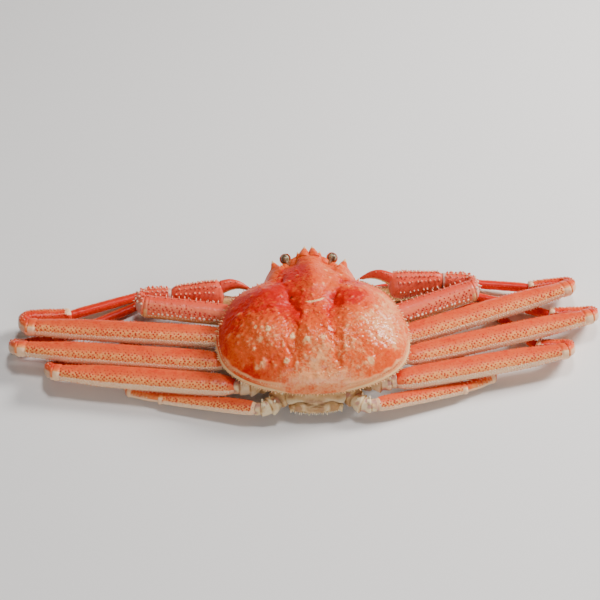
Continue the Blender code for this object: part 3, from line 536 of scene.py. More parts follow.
# The cup of shell round an eye: its axis, and its outline by angle over its equator and distance
# from the eye's middle
CUP_AXIS = Vector((0.25, -0.40, 0.88))
CUP_OUTLINE = ((-80.0, 3.7), (-60.0, 3.7), (-42.0, 3.7), (-25.0, 3.65), (-10.0, 3.6), (0.0, 3.45),
               (4.0, 3.2), (2.0, 2.95), (-8.0, 2.8), (-20.0, 2.75))
FEELER_COURSE = (
    (7.5, 52.5, 21.5),
    (9.0, 58.0, 20.5),
    (12.0, 61.5, 17.5),
    (16.0, 64.5, 12.5),
    (19.0, 66.0, 7.0),
)
FEELER_RADII = (1.9, 1.6, 0.8, 0.55, 0.35)
MOUTH_COURSE = ((4.9, 49.5, 15.6), (5.2, 47.0, 11.0), (5.3, 43.5, 6.5), (5.1, 39.0, 2.6))
MOUTH_WIDTHS = (3.0, 4.3, 4.5, 3.4)
MOUTH_JOINTS = (0.36, 0.7)
MOUTH_THICKNESS = 2.3

# What the finishes read at each point of a skin
MARKS = ("pale", "red", "soft", "spot", "dark", "wet", "grainy", "tone", "root", "wide", "tall")

# One section of a limb: its middle, the two axes of its oval and their half lengths
Section = namedtuple("Section", "middle wide high half_wide half_high")

# Inputs of the tree that grows grains and spines, the values that a piece sets for itself, and the
# width of a spine's tip as a share of its root's
GROWTH_INPUTS = (
    ("Geometry", "NodeSocketGeometry", None),
    ("Spine sides", "NodeSocketInt", 7),
    ("Scatter spacing", "NodeSocketFloat", 0.0012),
    ("Scatter density", "NodeSocketFloat", 0.0),
    ("Scatter radius", "NodeSocketFloat", 0.0004),
    ("Scatter height", "NodeSocketFloat", 0.0002),
    ("Unevenness", "NodeSocketFloat", 0.25),
    ("Seed", "NodeSocketInt", SEED),
    ("Finish", "NodeSocketMaterial", None),
)
SCATTERED = {
    "carapace": {"Scatter density": 160000.0, "Scatter spacing": 0.0016,
                 "Scatter radius": 0.00042, "Scatter height": 0.00026},
}
SPINE_TIP = 0.12

# The colours of a shell: its main colour, deep red, peach, pale side, joint skin, dark dots and
# the tips of spines
Palette = namedtuple("Palette", "main deep light pale soft dots tips")

# The shells: material, colours, how strong the mottling is, and roughness
SHELL_LOOKS = {
    "shell": ("carapace_shell", Palette(
        main=(0.76, 0.095, 0.016), deep=(0.56, 0.006, 0.001), light=(0.93, 0.38, 0.150),
        pale=(0.84, 0.52, 0.24), soft=(0.88, 0.40, 0.17), dots=(0.44, 0.008, 0.002),
        tips=(0.92, 0.62, 0.32)), 0.95, 0.42),
    "leg": ("leg_shell", Palette(
        main=(0.76, 0.110, 0.030), deep=(0.62, 0.016, 0.005), light=(0.90, 0.36, 0.105),
        pale=(0.92, 0.58, 0.34), soft=(0.76, 0.44, 0.26), dots=(0.56, 0.022, 0.006),
        tips=(0.95, 0.78, 0.52)), 0.70, 0.33),
    "claw": ("claw_shell", Palette(
        main=(0.76, 0.105, 0.050), deep=(0.66, 0.030, 0.014), light=(0.84, 0.20, 0.095),
        pale=(0.78, 0.46, 0.18), soft=(0.70, 0.44, 0.34), dots=(0.50, 0.012, 0.006),
        tips=(0.94, 0.78, 0.54)), 0.50, 0.33),
    "cream": ("pale_shell", Palette(
        main=(0.68, 0.45, 0.22), deep=(0.44, 0.23, 0.09), light=(0.80, 0.63, 0.38),
        pale=(0.82, 0.68, 0.42), soft=(0.52, 0.27, 0.20), dots=(0.42, 0.20, 0.07),
        tips=(0.88, 0.76, 0.52)), 0.75, 0.36),
}

# The slot of each finish, the colour of the dark marks (dark joints, pits and finger tips, and
# painted shade under the rim, below the abdomen's lip and inside the eye cups), and what all shells share
SLOTS = {"shell": "shell", "leg": "leg_shell", "claw": "claw_shell", "cream": "underside", "eye": "eye"}
DARK_MARKS_AND_SHADE = (0.10, 0.030, 0.012)
SHELL_GLOSS = {"Subsurface Weight": 0.08, "Subsurface Radius": (0.0015, 0.0006, 0.0003),
               "Subsurface Scale": 1.0, "Specular IOR Level": 0.22}

# Patterns of a shell's mottling, from broad to fine: scale, detail, shift and weight
MOTTLES = (
    (75.0, 4.0, (0.0, 0.0, 0.0), 1.0),
    (290.0, 4.0, (0.3, 0.1, 0.0), 1.2),
    (800.0, 3.0, (0.0, 0.4, 0.2), 1.3),
)

# Patterns of its grain and pores, cells of its granules, how high the grain and the granules are
# next to the pores, and the height of the pores in metres
SHELL_GRAIN = (1400.0, 3.0)
SHELL_PORES = (420.0, 4.0, (0.0, 0.0, 0.5))
GRANULE_CELLS = 620.0
GRAIN_BUMP = 0.35
GRANULE_BUMP = 1.6
SHELL_BUMP = 0.00016

# How uneven a shell's roughness is, and how much smoother it is where it is wet
ROUGHNESS_SPREAD = 0.10
WETNESS = 0.24

# The look of an eye: its dark ground, grey-green patches, stalk, patterns and bumps in metres
EYE_DARK = (0.080, 0.046, 0.022)
EYE_LIGHT = (0.34, 0.27, 0.15)
EYE_STALK = (0.74, 0.20, 0.07)
EYE_PATCHES = (330.0, 4.0)
EYE_GRAIN = (1500.0, 2.0)
EYE_BUMP = 0.00004
EYE_GLOSS = {"Roughness": 0.32, "Specular IOR Level": 0.35, "Coat Weight": 0.35, "Coat Roughness": 0.12}


def mixed(low, high, share):
    """The value a share of the way from low to high."""
    return low + (high - low) * share


def eased(share):
    """A share from 0 to 1, slowed at both ends."""
    share = min(max(share, 0.0), 1.0)
    return share * share * (3.0 - 2.0 * share)


def ramp(value, start, end):
    """0 at the start and 1 at the end, with a soft rise between them."""
    return eased((value - start) / (end - start))


def hump(distance, reach):
    """1 at no distance, falling to nothing past the reach."""
    return math.exp(-(distance / reach) ** 2)


def oval(place, across, forward, half_wide, half_long):
    """1 in the middle of an oval, falling to nothing outside it."""
    return hump(place.x - across, half_wide) * hump(place.y - forward, half_long)


def rough(place, size, shift=(0.0, 0.0)):
    """Noise about 0 with forms of about a size, from its pattern or a shifted part of it."""
    return noise.noise(place / size + Vector((*shift, 0.0)))


def pebbled(place, size, narrowness):
    """1 on the middles of round granules about a size apart, 0 between them."""
    return max(1.0 - narrowness * noise.voronoi(place / size)[0][0], 0.0) ** 1.5


def scaled(sizes, factor):
    """A pair of half sizes times a factor."""
    return sizes[0] * factor, sizes[1] * factor


def on_side(point, side):
    """The point, or its mirror image for the left side."""
    return Vector((point[0] * side, point[1], point[2]))


def spline(points, steps):
    """Points along a smooth curve through the given ones, with this many steps a span."""
    row = [Vector(point) for point in points]
    padded = [row[0] * 2.0 - row[1]] + row + [row[-1] * 2.0 - row[-2]]
    curve = []
    for before, start, end, after in zip(padded, padded[1:], padded[2:], padded[3:]):
        for step in range(steps):
            share = step / steps
            curve.append(0.5 * (2.0 * start + (end - before) * share
                                + (2.0 * before - 5.0 * start + 4.0 * end - after) * share ** 2
                                + (3.0 * start - before - 3.0 * end + after) * share ** 3))
    curve.append(row[-1])
    return curve


def length_of(points):
    """Length of a row of points."""
    return sum((after - before).length for before, after in zip(points, points[1:]))


def walked(points, share):
    """The span of a row of points a share of the way along it, and the share of that span."""
    steps = [(after - before).length for before, after in zip(points, points[1:])]
    left = share * sum(steps)
    for number, step in enumerate(steps):
        if left <= step:
            break
        left -= step
    return number, min(left / step, 1.0)


class Skin:
    """A surface in the making: points, faces, and what the finish reads at each point."""

    def __init__(self):
        self.points = []
        self.outs = []
        self.faces = []
        self.marks = {name: [] for name in MARKS}

    def point(self, place, marks, out=UP):
        """Add a point and return its number."""
        self.points.append(place * MM)
        self.outs.append(out)
        for name in MARKS:
            self.marks[name].append(marks.get(name, 0.0))
        return len(self.points) - 1

    def bridge(self, loops):
        """Add the faces between rings of point numbers."""
        for near, far in zip(loops, loops[1:]):
            for index in range(len(near)):
                after = (index + 1) % len(near)
                self.faces.append((near[index], near[after], far[after], far[index]))

    def close(self, ring, middle, marks):
        """Add a middle point and the faces from a ring to it."""
        middle = self.point(middle, marks)
        for index in range(len(ring)):
            self.faces.append((ring[index], ring[(index + 1) % len(ring)], middle))

    def root(self, place, out, radius, height, tone, kind):
        """Add a loose point from which a grain or a spine will grow."""
        marks = {"root": kind, "wide": radius * MM, "tall": height * MM, "tone": tone}
        self.point(place, marks, out)

    def mesh(self, name):
        """The skin as a mesh whose faces point outwards."""
        data = bpy.data.meshes.new(name)
        data.from_pydata(self.points, [], self.faces)
        shape = bmesh.new()
        shape.from_mesh(data)
        bmesh.ops.recalc_face_normals(shape, faces=shape.faces[:])
        shape.to_mesh(data)
        shape.free()
        for mark, values in self.marks.items():
            data.attributes.new(mark, "FLOAT", "POINT").data.foreach_set("value", values)
        outs = [part for out in self.outs for part in out]
        data.attributes.new("out", "FLOAT_VECTOR", "POINT").data.foreach_set("vector", outs)
        return data


def add_node(tree, kind, inputs=None, **settings):
    """A new node of a tree with its settings, and its inputs given values or outputs to read."""
    node = tree.nodes.new(kind)
    for name, value in settings.items():
        setattr(node, name, value)
    for socket, value in (inputs or {}).items():
        if isinstance(value, bpy.types.NodeSocket):
            tree.links.new(value, node.inputs[socket])
        else:
            node.inputs[socket].default_value = value
    return node


def reckoned(tree, operation, first, second):
    """A sum, product or other result of two values or outputs."""
    return add_node(tree, "ShaderNodeMath", {0: first, 1: second}, operation=operation).outputs[0]


def named_value(tree, name, kind="FLOAT"):
    """The output that reads a named attribute in a geometry tree."""
    return add_node(tree, "GeometryNodeInputNamedAttribute", {"Name": name}, data_type=kind).outputs[0]


def parted(tree, geometry, limit):
    """The points of a geometry whose mark for a root is over a limit, and the others."""
    over = add_node(tree, "FunctionNodeCompare", {0: named_value(tree, "root"), 1: limit},
                    data_type="FLOAT", operation="GREATER_THAN")
    return add_node(tree, "GeometryNodeSeparateGeometry",
                    {"Geometry": geometry, "Selection": over.outputs[0]}, domain="POINT").outputs


def random_share(tree, unevenness, seed):
    """A random factor about 1."""
    less = reckoned(tree, "SUBTRACT", 1.0, unevenness)
    more = reckoned(tree, "ADD", 1.0, unevenness)
    return add_node(tree, "FunctionNodeRandomValue", {2: less, 3: more, "Seed": seed},
                    data_type="FLOAT").outputs[1]


def with_tip(tree, shape):
    """A grain or spine whose attribute tip rises from its root to its top."""
    place = add_node(tree, "GeometryNodeInputPosition")
    parts = add_node(tree, "ShaderNodeSeparateXYZ", {0: place.outputs[0]})
    store = add_node(tree, "GeometryNodeStoreNamedAttribute",
                     {"Geometry": shape.outputs["Mesh"], "Name": "tip", "Value": parts.outputs["Z"]},
                     data_type="FLOAT", domain="POINT")
    return store.outputs["Geometry"]


def grown_on(tree, points, shape, out, wide, tall, factor):
    """Copies of a shape on points, standing along out and scaled at random."""
    size = add_node(tree, "ShaderNodeCombineXYZ", {"X": wide, "Y": wide, "Z": tall})
    scale = add_node(tree, "ShaderNodeVectorMath", {0: size.outputs[0], "Scale": factor}, operation="SCALE")
    turn = add_node(tree, "FunctionNodeAlignRotationToVector", {"Vector": out}, axis="Z")
    return add_node(tree, "GeometryNodeInstanceOnPoints", {
        "Points": points, "Instance": with_tip(tree, shape),
        "Rotation": turn.outputs[0], "Scale": scale.outputs[0]}).outputs[0]


def growth_tree():
    """Grains and spines on a skin's marked roots, and fine grains scattered where it is grainy."""
    tree = bpy.data.node_groups.new("growth", "GeometryNodeTree")
    for name, kind, value in GROWTH_INPUTS:
        socket = tree.interface.new_socket(name, in_out="INPUT", socket_type=kind)
        if value is not None:
            socket.default_value = value
    tree.interface.new_socket("Geometry", in_out="OUTPUT", socket_type="NodeSocketGeometry")
    given = add_node(tree, "NodeGroupInput").outputs
    roots = parted(tree, given["Geometry"], 0.5 * GRAIN)
    kinds = parted(tree, roots["Selection"], 0.5 * (GRAIN + SPINE))
    grain = add_node(tree, "GeometryNodeMeshIcoSphere", {"Subdivisions": 2})
    speck = add_node(tree, "GeometryNodeMeshIcoSphere", {"Subdivisions": 1})
    spine = add_node(tree, "GeometryNodeMeshCone", {
        "Vertices": given["Spine sides"], "Side Segments": 2, "Radius Top": SPINE_TIP, "Depth": 1.0},
        fill_type="NGON")
    factor = random_share(tree, given["Unevenness"], given["Seed"])
    stance = (named_value(tree, "out", "FLOAT_VECTOR"), named_value(tree, "wide"), named_value(tree, "tall"))
    grains = grown_on(tree, kinds["Inverted"], grain, *stance, factor)
    spines = grown_on(tree, kinds["Selection"], spine, *stance, factor)
    scatter = add_node(tree, "GeometryNodeDistributePointsOnFaces", distribute_method="POISSON", inputs={
        "Mesh": roots["Inverted"], "Distance Min": given["Scatter spacing"],
        "Density Max": given["Scatter density"], "Density Factor": named_value(tree, "grainy"),
        "Seed": given["Seed"]}).outputs
    specks = grown_on(tree, scatter["Points"], speck, scatter["Normal"],
                      given["Scatter radius"], given["Scatter height"], factor)
    join = add_node(tree, "GeometryNodeJoinGeometry")
    for shape in (specks, spines, grains, roots["Inverted"]):
        tree.links.new(shape, join.inputs[0])
    plain = add_node(tree, "GeometryNodeRealizeInstances", {0: join.outputs[0]})
    smooth = add_node(tree, "GeometryNodeSetShadeSmooth", {0: plain.outputs[0]})
    finish = add_node(tree, "GeometryNodeSetMaterial", {0: smooth.outputs[0], "Material": given["Finish"]})
    add_node(tree, "NodeGroupOutput", {0: finish.outputs[0]})
    return tree


def set_inputs(modifier, values):
    """Set a modifier's inputs by the identifiers of their sockets."""
    for item in modifier.node_group.interface.items_tree:
        if item.in_out == "INPUT" and item.name in values:
            modifier[item.identifier] = values[item.name]


def shown(name, data):
    """A new object of the scene."""
    thing = bpy.data.objects.new(name, data)
    bpy.context.scene.collection.objects.link(thing)
    return thing


def finish_piece(node, skin, finish, slot, tree):
    """Grow the grains of a skin, make it a plain mesh and put it in its solid's place."""
    piece = shown(node + "_shell", skin.mesh(node + "_shell"))
    growth = piece.modifiers.new("growth", "NODES")
    growth.node_group = tree
    set_inputs(growth, {"Finish": finish, **SCATTERED.get(node, {})})
    graph = bpy.context.evaluated_depsgraph_get()
    data = bpy.data.meshes.new_from_object(piece.evaluated_get(graph))
    piece.modifiers.clear()
    piece.data = data
    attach(piece, "root")
    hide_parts(node)


def half_edge(steps):
    """The right half of the shell's edge, front to back, smooth across the middle line."""
    ends = [on_side(SHELL_EDGE[1], -1.0), *SHELL_EDGE, on_side(SHELL_EDGE[-2], -1.0)]
    return spline(ends, steps)[steps:-steps]


def shell_edge(steps):
    """The whole edge of the shell as a ring of points."""
    half = half_edge(steps)
    return half + [on_side(point, -1.0) for point in reversed(half[1:-1])]


def shell_crown(place):
    """Height of the shell's back over a place, before it falls to the edge."""
    height = SHELL_CROWN
    for middle, ahead, half_wide, half_long, swell in SHELL_REGIONS:
        for side in ((1.0,) if middle == 0.0 else (1.0, -1.0)):
            height += swell * oval(place, side * middle, ahead, half_wide, half_long)
    return height


def calmed(ring):
    """For each point of a ring, the middle of its neighbours up to CALM_REACH away."""
    calm = []
    for index in range(len(ring)):
        near = [ring[(index + offset) % len(ring)] for offset in range(-CALM_REACH, CALM_REACH + 1)]
        calm.append(sum(near, Vector()) / len(near))
    return calm


def shell_point(edge, share, calm=None):
    """A point of the shell's back, a share of the way from its middle to the edge."""
    towards = edge if calm is None else calm.lerp(edge, ramp(share, CALM_SHARE, 1.0))
    place = SHELL_MIDDLE.lerp(Vector((towards.x, towards.y, 0.0)), share)
    frontness = ramp(edge.y, *SHELL_FRONT)
    fullness = mixed(*SHELL_FULLNESS, frontness)
    rise = max(1.0 - share ** fullness, 0.0) ** mixed(*SHELL_ROUNDNESS, frontness)
    keel = ramp(place.y, *KEEL_COURSE) * ramp(share, *KEEL_END) * hump(place.x, KEEL_WIDTH)
    place.z = mixed(edge.z, shell_crown(place), rise) - KEEL_DROP * keel
    return place


def under_point(edge, share, drop):
    """A point of the shell's turned-in underside."""
    place = SHELL_MIDDLE.lerp(Vector((edge.x, edge.y, 0.0)), share)
    place.z = mixed(edge.z, SHELL_SEAM, drop)
    return place


def line_distance(place, start, end):
    """Distance from a place to a straight line between two places."""
    along = Vector(end) - Vector(start)
    offset = place.xy - Vector(start)
    share = min(max(offset.dot(along) / along.length_squared, 0.0), 1.0)
    return (offset - along * share).length


def crescent(place):
    """1 on the crescent mark behind the shell's middle front, 0 away from it."""
    offset = place.xy - CRESCENT_MIDDLE
    bearing = math.degrees(math.atan2(offset.x, -offset.y)) - CRESCENT_BEARING
    ends = ramp(abs(bearing), *CRESCENT_ENDS)
    return ends * hump(offset.length - CRESCENT_RADIUS, mixed(*CRESCENT_WIDTHS, ends))


def near_tubercle(place, tubercles):
    """1 on a tubercle of the shell's back, falling to 0 round it."""
    radius = TUBERCLE_SIZE[0]
    near = min((place - other).length for other in tubercles)
    return hump(near, radius) if near < 4.0 * radius else 0.0


def rim_side(place):
    """1 where the shell's rim is pale, on both sides of its rear, and 0 elsewhere."""
    return ramp(place.y, *RIM_BEHIND) * ramp(abs(place.x), *RIM_ASIDE)


def inner_ridge(place, over):
    """1 on the ridge inside the rim, which runs along both rear corners of the shell."""
    length = ramp(place.y, *RIDGE_BEHIND) * ramp(abs(place.x), *RIDGE_ASIDE)
    bend = rough(place, 6.0)
    return length * (0.75 + 0.5 * bend) * hump(over - RIDGE_HEIGHT - bend, 1.0)


def mark_reach(place, mark):
    """Distance from the middle of a mark, uneven so that its outline isn't round."""
    raggedness = rough(place + UP * mark.across, 1.3)
    return math.hypot(place.x - mark.across, place.y - mark.forward) + 0.55 * mark.radius * raggedness


def furrow_depth(place):
    """How deep the furrows of the shell's back are at a place."""
    bend = Vector((rough(place, 5.0), rough(place, 5.0, (3.0, 5.0))))
    bent = Vector((abs(place.x), place.y)) + bend * FURROW_BEND
    depth = 0.0
    for start, end, reach, full_depth in FURROWS:
        depth += full_depth * hump(line_distance(bent, start, end), reach)
    return depth * (0.7 + rough(place, 4.0))


def granule_height(place):
    """Height of the granules of the shell's back at a place."""
    height = sum(rise * pebbled(place, size, 2.2) for size, rise in GRANULES)
    return height * mixed(SMOOTH_FRONT, 1.0, ramp(place.y, *GRANULES_FROM))


def shell_relief(place, over, inside, tubercles):
    """Height of the fine forms of the shell's back: wrinkles, marks and the rim."""
    start, end, reach, rise = ROSTRUM_RIDGE
    height = rise * hump(line_distance(place, start, end), reach)
    wrinkles = sum(rise * rough(place, size, shift) for rise, size, shift in WRINKLES)
    height += wrinkles * mixed(SMOOTH_FRONT, 1.0, ramp(place.y, *WRINKLES_FROM))
    for mark in PALE_MARKS:
        reach = mark_reach(place, mark)
        if reach < 3.0 * mark.radius:
            height += mark.rise * (hump(reach, mark.radius) - 0.9 * hump(reach, 0.4 * mark.radius))
    height += 0.3 * crescent(place)
    height -= sum(0.6 * oval(place, *pit, 1.0, 1.0) for pit in PITS)
    height += TUBERCLE_SIZE[1] * near_tubercle(place, tubercles)
    rim = 0.6 * inner_ridge(place, over) - 0.4 * rim_side(place) * hump(over - RIM_GROOVE, 0.8)
    return height * inside + rim + 0.35 * hump(over - 0.5, 0.7)


def shell_marks(place, share, over, tubercles):
    """What the finish reads at a place of the shell's back."""
    side = rim_side(place)
    # Redder towards the left: painted shade on the left side, painted light on the right
    red = SHELL_REDNESS - PAINTED_SHADE_TO_LEFT * place.x - 0.9 * near_tubercle(place, tubercles)
    red += sum(strength * oval(place, *region) for *region, strength in RED_REGIONS)
    red -= 0.8 * side * hump(over - RIM_GROOVE, 1.4)
    spot = 1.1 * crescent(place)
    dark = sum(oval(place, *pit, 1.1, 1.1) for pit in PITS)
    for mark in PALE_MARKS:
        reach = mark_reach(place, mark)
        spot += mark.paleness * hump(reach - 0.62 * mark.radius, 0.42 * mark.radius)
        dark += 0.16 * mark.paleness * hump(reach, 0.38 * mark.radius)
        red -= 0.9 * hump(reach, mark.radius)
    return {
        "red": min(max(red, -1.0), 1.0),
        "spot": min(spot, 1.0),
        "dark": min(dark, 1.0),
        "soft": 0.9 * inner_ridge(place, over),
        "wet": ramp(place.y, *WET_BEHIND) * mixed(0.35, 1.0, ramp(place.x, *WET_RIGHT)),
        "pale": eased((mixed(*RIM_HEIGHTS, side) - over) / 0.6) * mixed(0.35, 1.0, side),
        "grainy": ramp(share, 0.95, 0.90) * mixed(0.35, 1.0, ramp(place.y, *GRAINY_BEHIND)),
    }


def back_loop(skin, share, edge, calm, tubercles):
    """A ring of the shell's back with its fine forms, a share of the way to the edge."""
    inside = ramp(share, 0.97, 0.87)
    loop = []
    for point, inner in zip(edge, calm):
        place = shell_point(point, share, inner)
        level = Vector((place.x, place.y, 0.0))
        over = place.z - point.z
        out = Vector((point.x, point.y - SHELL_MIDDLE.y, 0.0)).normalized() * share ** 6
        lift = (out + UP * (1.0 - 0.8 * share ** 12)).normalized()
        furrow = furrow_depth(level) * inside
        granule = granule_height(level) * inside
        marks = shell_marks(level, share, over, tubercles)
        # Painted shade: redder and darker in the furrows; the granules are paler in their own colour
        marks["red"] += 0.5 * furrow - 0.9 * granule
        height = shell_relief(level, over, inside, tubercles) + granule - furrow
        loop.append(skin.point(place + lift * height, marks))
    return loop


def add_back(skin):
    """The shell's back and its turned-in underside."""
    tubercles = tubercle_places()
    edge = shell_edge(EDGE_STEPS)
    calm = calmed(edge)
    loops = []
    for share, drop in UNDER_RINGS:
        loops.append([skin.point(under_point(point, share, drop), {"pale": 1.0}) for point in edge])
    for index in range(BACK_RINGS):
        share = 1.0 - (index / BACK_RINGS) ** 1.7
        loops.append(back_loop(skin, share, edge, calm, tubercles))
    skin.bridge(loops)
    middle = shell_point(edge[0], 0.0)
    skin.close(loops[-1], middle, shell_marks(SHELL_MIDDLE, 0.0, middle.z, tubercles))
    skin.close(loops[0], SHELL_MIDDLE + UP * SHELL_SEAM, {"pale": 1.0})


def edge_share(place, ring):
    """Share of the way from the shell's middle to its edge at which a place lies."""
    def bearing(point):
        return math.atan2(abs(point.x), point.y - SHELL_MIDDLE.y)

    edge = min(ring, key=lambda point: abs(bearing(point) - bearing(place)))
    return (place - SHELL_MIDDLE).xy.length / (edge - SHELL_MIDDLE).xy.length


def tubercle_places():
    """Places of the low tubercles of the back, well apart, inside the edge and few in its middle."""
    dice = random.Random(SEED)
    ring = spline(SHELL_EDGE, COARSE_STEPS)
    places = []
    while len(places) < 2 * TUBERCLES:
        place = Vector([dice.uniform(*span) for span in TUBERCLE_FIELD] + [0.0])
        apart = all((place - other).length > TUBERCLE_SPACING for other in places)
        away = abs(place.x) + 0.5 * abs(place.y) > BARE_MIDDLE or dice.random() < KEPT_IN_MIDDLE
        if apart and away and edge_share(place, ring) < TUBERCLE_REACH:
            places.append(place)
    return places


def add_tooth(skin, teeth, edge, size):
    """The root of a tooth of the shell's rim beside a point of its edge."""
    outward = Vector((edge.x, edge.y - SHELL_MIDDLE.y, 0.0)).normalized()
    out = (outward + UP * teeth.lean).normalized()
    place = shell_point(edge, 1.0 - teeth.inset) - out * teeth.radius * 0.8
    skin.root(place, out, teeth.radius * size, (teeth.height + teeth.radius) * size, teeth.tone, SPINE)


def add_rim_teeth(skin):
    """The teeth round the shell's rim."""
    dice = random.Random(SEED)
    half = half_edge(EDGE_STEPS)
    for side in (1.0, -1.0):
        for teeth in RIM_TEETH:
            points = half[round(teeth.first * (len(half) - 1)):round(teeth.last * (len(half) - 1)) + 1]
            count = int(length_of(points) / teeth.spacing)
            for index in range(count):
                number, part = walked(points, (index + dice.uniform(0.3, 0.7)) / count)
                edge = on_side(points[number].lerp(points[number + 1], part), side)
                add_tooth(skin, teeth, edge, dice.uniform(0.75, 1.2))


def round_rows(axis, spots):
    """Round sections square to an axis, from the place, radius and station of each."""
    wide = axis.orthogonal().normalized()
    high = axis.normalized().cross(wide)
    return [(Section(place, wide, high, radius, radius), station) for place, radius, station in spots]


def tapered_rows(start, end, steps, radius_at):
    """Round sections from one point to another, with a radius by the share of the way."""
    shares = [step / steps for step in range(steps + 1)]
    return round_rows(end - start, [(start.lerp(end, share), radius_at(share), share) for share in shares])


def horn_marks(share, angle):
    """What the finish reads on a horn: red, with a pale tip."""
    return {"red": 0.2, "spot": ramp(share, 0.5, 0.85)}


def brow_marks(share, angle):
    """What the finish reads on a brow, redder towards the middle line."""
    return {"red": 0.35 - 0.4 * share}


def add_horns_and_brows(skin):
    """The horns of the rostrum, the teeth beside the eyes, and the brows round the eyes' notches."""
    for side in (1.0, -1.0):
        for root, tip, radius in SHELL_HORNS:
            rows = tapered_rows(on_side(root, side), on_side(tip, side), 16,
                                lambda share: radius * HORN_FULLNESS * max(1.0 - share ** 1.4, 0.03))
            add_tube(skin, rows, horn_marks, sides=28, relief=0.3)
    for side in (1.0, -1.0):
        for start, end, radius in BROWS:
            rows = tapered_rows(on_side(start, side), on_side(end, side), 24,
                                lambda share: radius * max(1.0 - (2.0 * share - 1.0) ** 4, 0.002) ** 0.5)
            add_tube(skin, rows, brow_marks, sides=32, relief=0.5)


def upward(section):
    """The section with its high axis turned to point up."""
    return section if section.high.z > 0.0 else section._replace(high=-section.high)


def squared(value, squareness):
    """A sine or cosine bent towards a squarer outline."""
    return math.copysign(abs(value) ** squareness, value)


def ring_place(section, angle, squareness):
    """The point of a section's outline at an angle, and the direction it faces."""
    across, along = math.cos(math.radians(angle)), math.sin(math.radians(angle))
    place = section.middle + section.wide * (squared(across, squareness) * section.half_wide)
    place += section.high * (squared(along, squareness) * section.half_high)
    out = section.wide * (across / section.half_wide) + section.high * (along / section.half_high)
    return place, out.normalized()


def lean(section):
    """How far the wide axis of a section leans down from level, in degrees."""
    return -math.degrees(math.asin(section.wide.normalized().z))


def floored(place):
    """The place, lifted to the floor if it is below it."""
    return Vector((place.x, place.y, max(place.z, 0.0)))


def add_tube(skin, rows, marks_at, sides=TUBE_SIDES, squareness=1.0, relief=0.0):
    """Add a closed tube through sections, with marks by station and by angle from level."""
    loops = []
    for section, station in rows:
        loop = []
        for index in range(sides):
            angle = 360.0 * index / sides
            place, out = ring_place(section, angle, squareness)
            marks = marks_at(station, (angle - lean(section)) % 360.0)
            place += out * marks.get("rise", 0.0)
            if relief:
                uneven_part = 0.5 * rough(place, 2.6) + pebbled(place, 1.9, 2.0)
                place += out * (relief * uneven_part - 0.35 * marks.get("dip", 0.0))
            loop.append(skin.point(floored(place), marks))
        loops.append(loop)
    skin.bridge(loops)
    for loop, (section, station) in ((loops[0], rows[0]), (loops[-1], rows[-1])):
        skin.close(loop, floored(section.middle), marks_at(station, 90.0))


def add_dome(rows, bulge):
    """Round off the end of a row of sections by shrinking sections that bulge along it."""
    (before, _), (last, station) = rows[-2:]
    along = (last.middle - before.middle).normalized()
    for step in range(1, 6):
        turn = math.radians(18.0 * step)
        middle = last.middle + along * (bulge * math.sin(turn))
        half_wide, half_high = scaled(last[3:], max(math.cos(turn), 0.05))
        rows.append((last._replace(middle=middle, half_wide=half_wide, half_high=half_high), station))


def profile_size(profile, share):
    """A profile's size at a share of the length, blurred a little along it."""
    total = 0.0
    for offset in (-1.0, -0.5, 0.0, 0.5, 1.0):
        spot = min(max(share + offset * PROFILE_BLUR, 0.0), 1.0)
        for (near, low), (far, high) in zip(profile, profile[1:]):
            if spot <= far:
                break
        total += mixed(low, high, (spot - near) / (far - near))
    return total / 5.0


def fine_profile(profile, length):
    """A profile with sections close together, closest at its ends."""
    count = max(int(length / PROFILE_STEP), 8)
    fine = []
    for index in range(count + 1):
        share = index / count
        share = mixed(share, 0.5 - 0.5 * math.cos(math.pi * share), 0.5)
        fine.append((share, profile_size(profile, share)))
    return fine


def course_sections(course, sizes, wide):
    """Sections along a course of points, wide along one direction."""
    sections = []
    for index, (place, (half_wide, half_high)) in enumerate(zip(course, sizes)):
        along = (course[min(index + 1, len(course) - 1)] - course[max(index - 1, 0)]).normalized()
        level = (wide - along * wide.dot(along)).normalized()
        sections.append(Section(place, level, along.cross(level), half_wide, half_high))
    return sections


def heading_vector(side, heading):
    """Level unit vector at a heading."""
    angle = math.radians(heading)
    return Vector((side * math.cos(angle), math.sin(angle), 0.0))


def segment_vector(side, segment, start_height):
    """Unit vector along a segment that starts at a height."""
    rise = (segment.end_height - start_height) / segment.length
    return heading_vector(side, segment.heading) * math.sqrt(1.0 - rise * rise) + UP * rise


def fold_vector(side, heading, tilt):
    """Unit vector from a segment towards the one folded back beside it."""
    down = math.radians(tilt)
    return heading_vector(side, heading + 90.0) * math.cos(down) - UP * math.sin(down)


def straight_sections(start, along, length, wide, sizes, profile, last_wide=None):
    """Sections of a straight segment with their stations, turning to the last wide axis."""
    rows = []
    for share, size in profile:
        axis = wide if last_wide is None else wide.lerp(last_wide, ramp(share, 0.7, 1.0))
        axis = (axis - along * axis.dot(along)).normalized()
        place = start + along * (length * share)
        rows.append((Section(place, axis, along.cross(axis), *scaled(sizes, size)), share))
    return rows


def folded_sections(end, along, fold, turn, sizes, pinch, room):
    """Sections round a folded joint, with stations from -1 up to 0, and the one after it."""
    pivot = end.middle + fold * (end.half_wide + room)
    high = along.cross(fold).normalized()
    rows = []
    for step in range(FOLD_STEPS + 1):
        share = step / FOLD_STEPS
        angle = math.radians(turn) * share
        inward = fold * math.cos(angle) - along * math.sin(angle)
        half_wide = mixed(end.half_wide, sizes[0], share) * mixed(1.0, pinch, math.sin(math.pi * share))
        half_high = mixed(end.half_high, sizes[1], share)
        place = pivot - inward * (half_wide + room)
        rows.append((Section(place, inward, high, half_wide, half_high), share - 1.0))
    return rows[:-1], rows[-1][0]


def mitred(section, along, plane):
    """The section slanted to lie in the plane instead of square to its own direction."""
    wide = section.wide - along * (section.wide.dot(plane) / along.dot(plane))
    high = section.high - along * (section.high.dot(plane) / along.dot(plane))
    return section._replace(wide=wide, high=high)


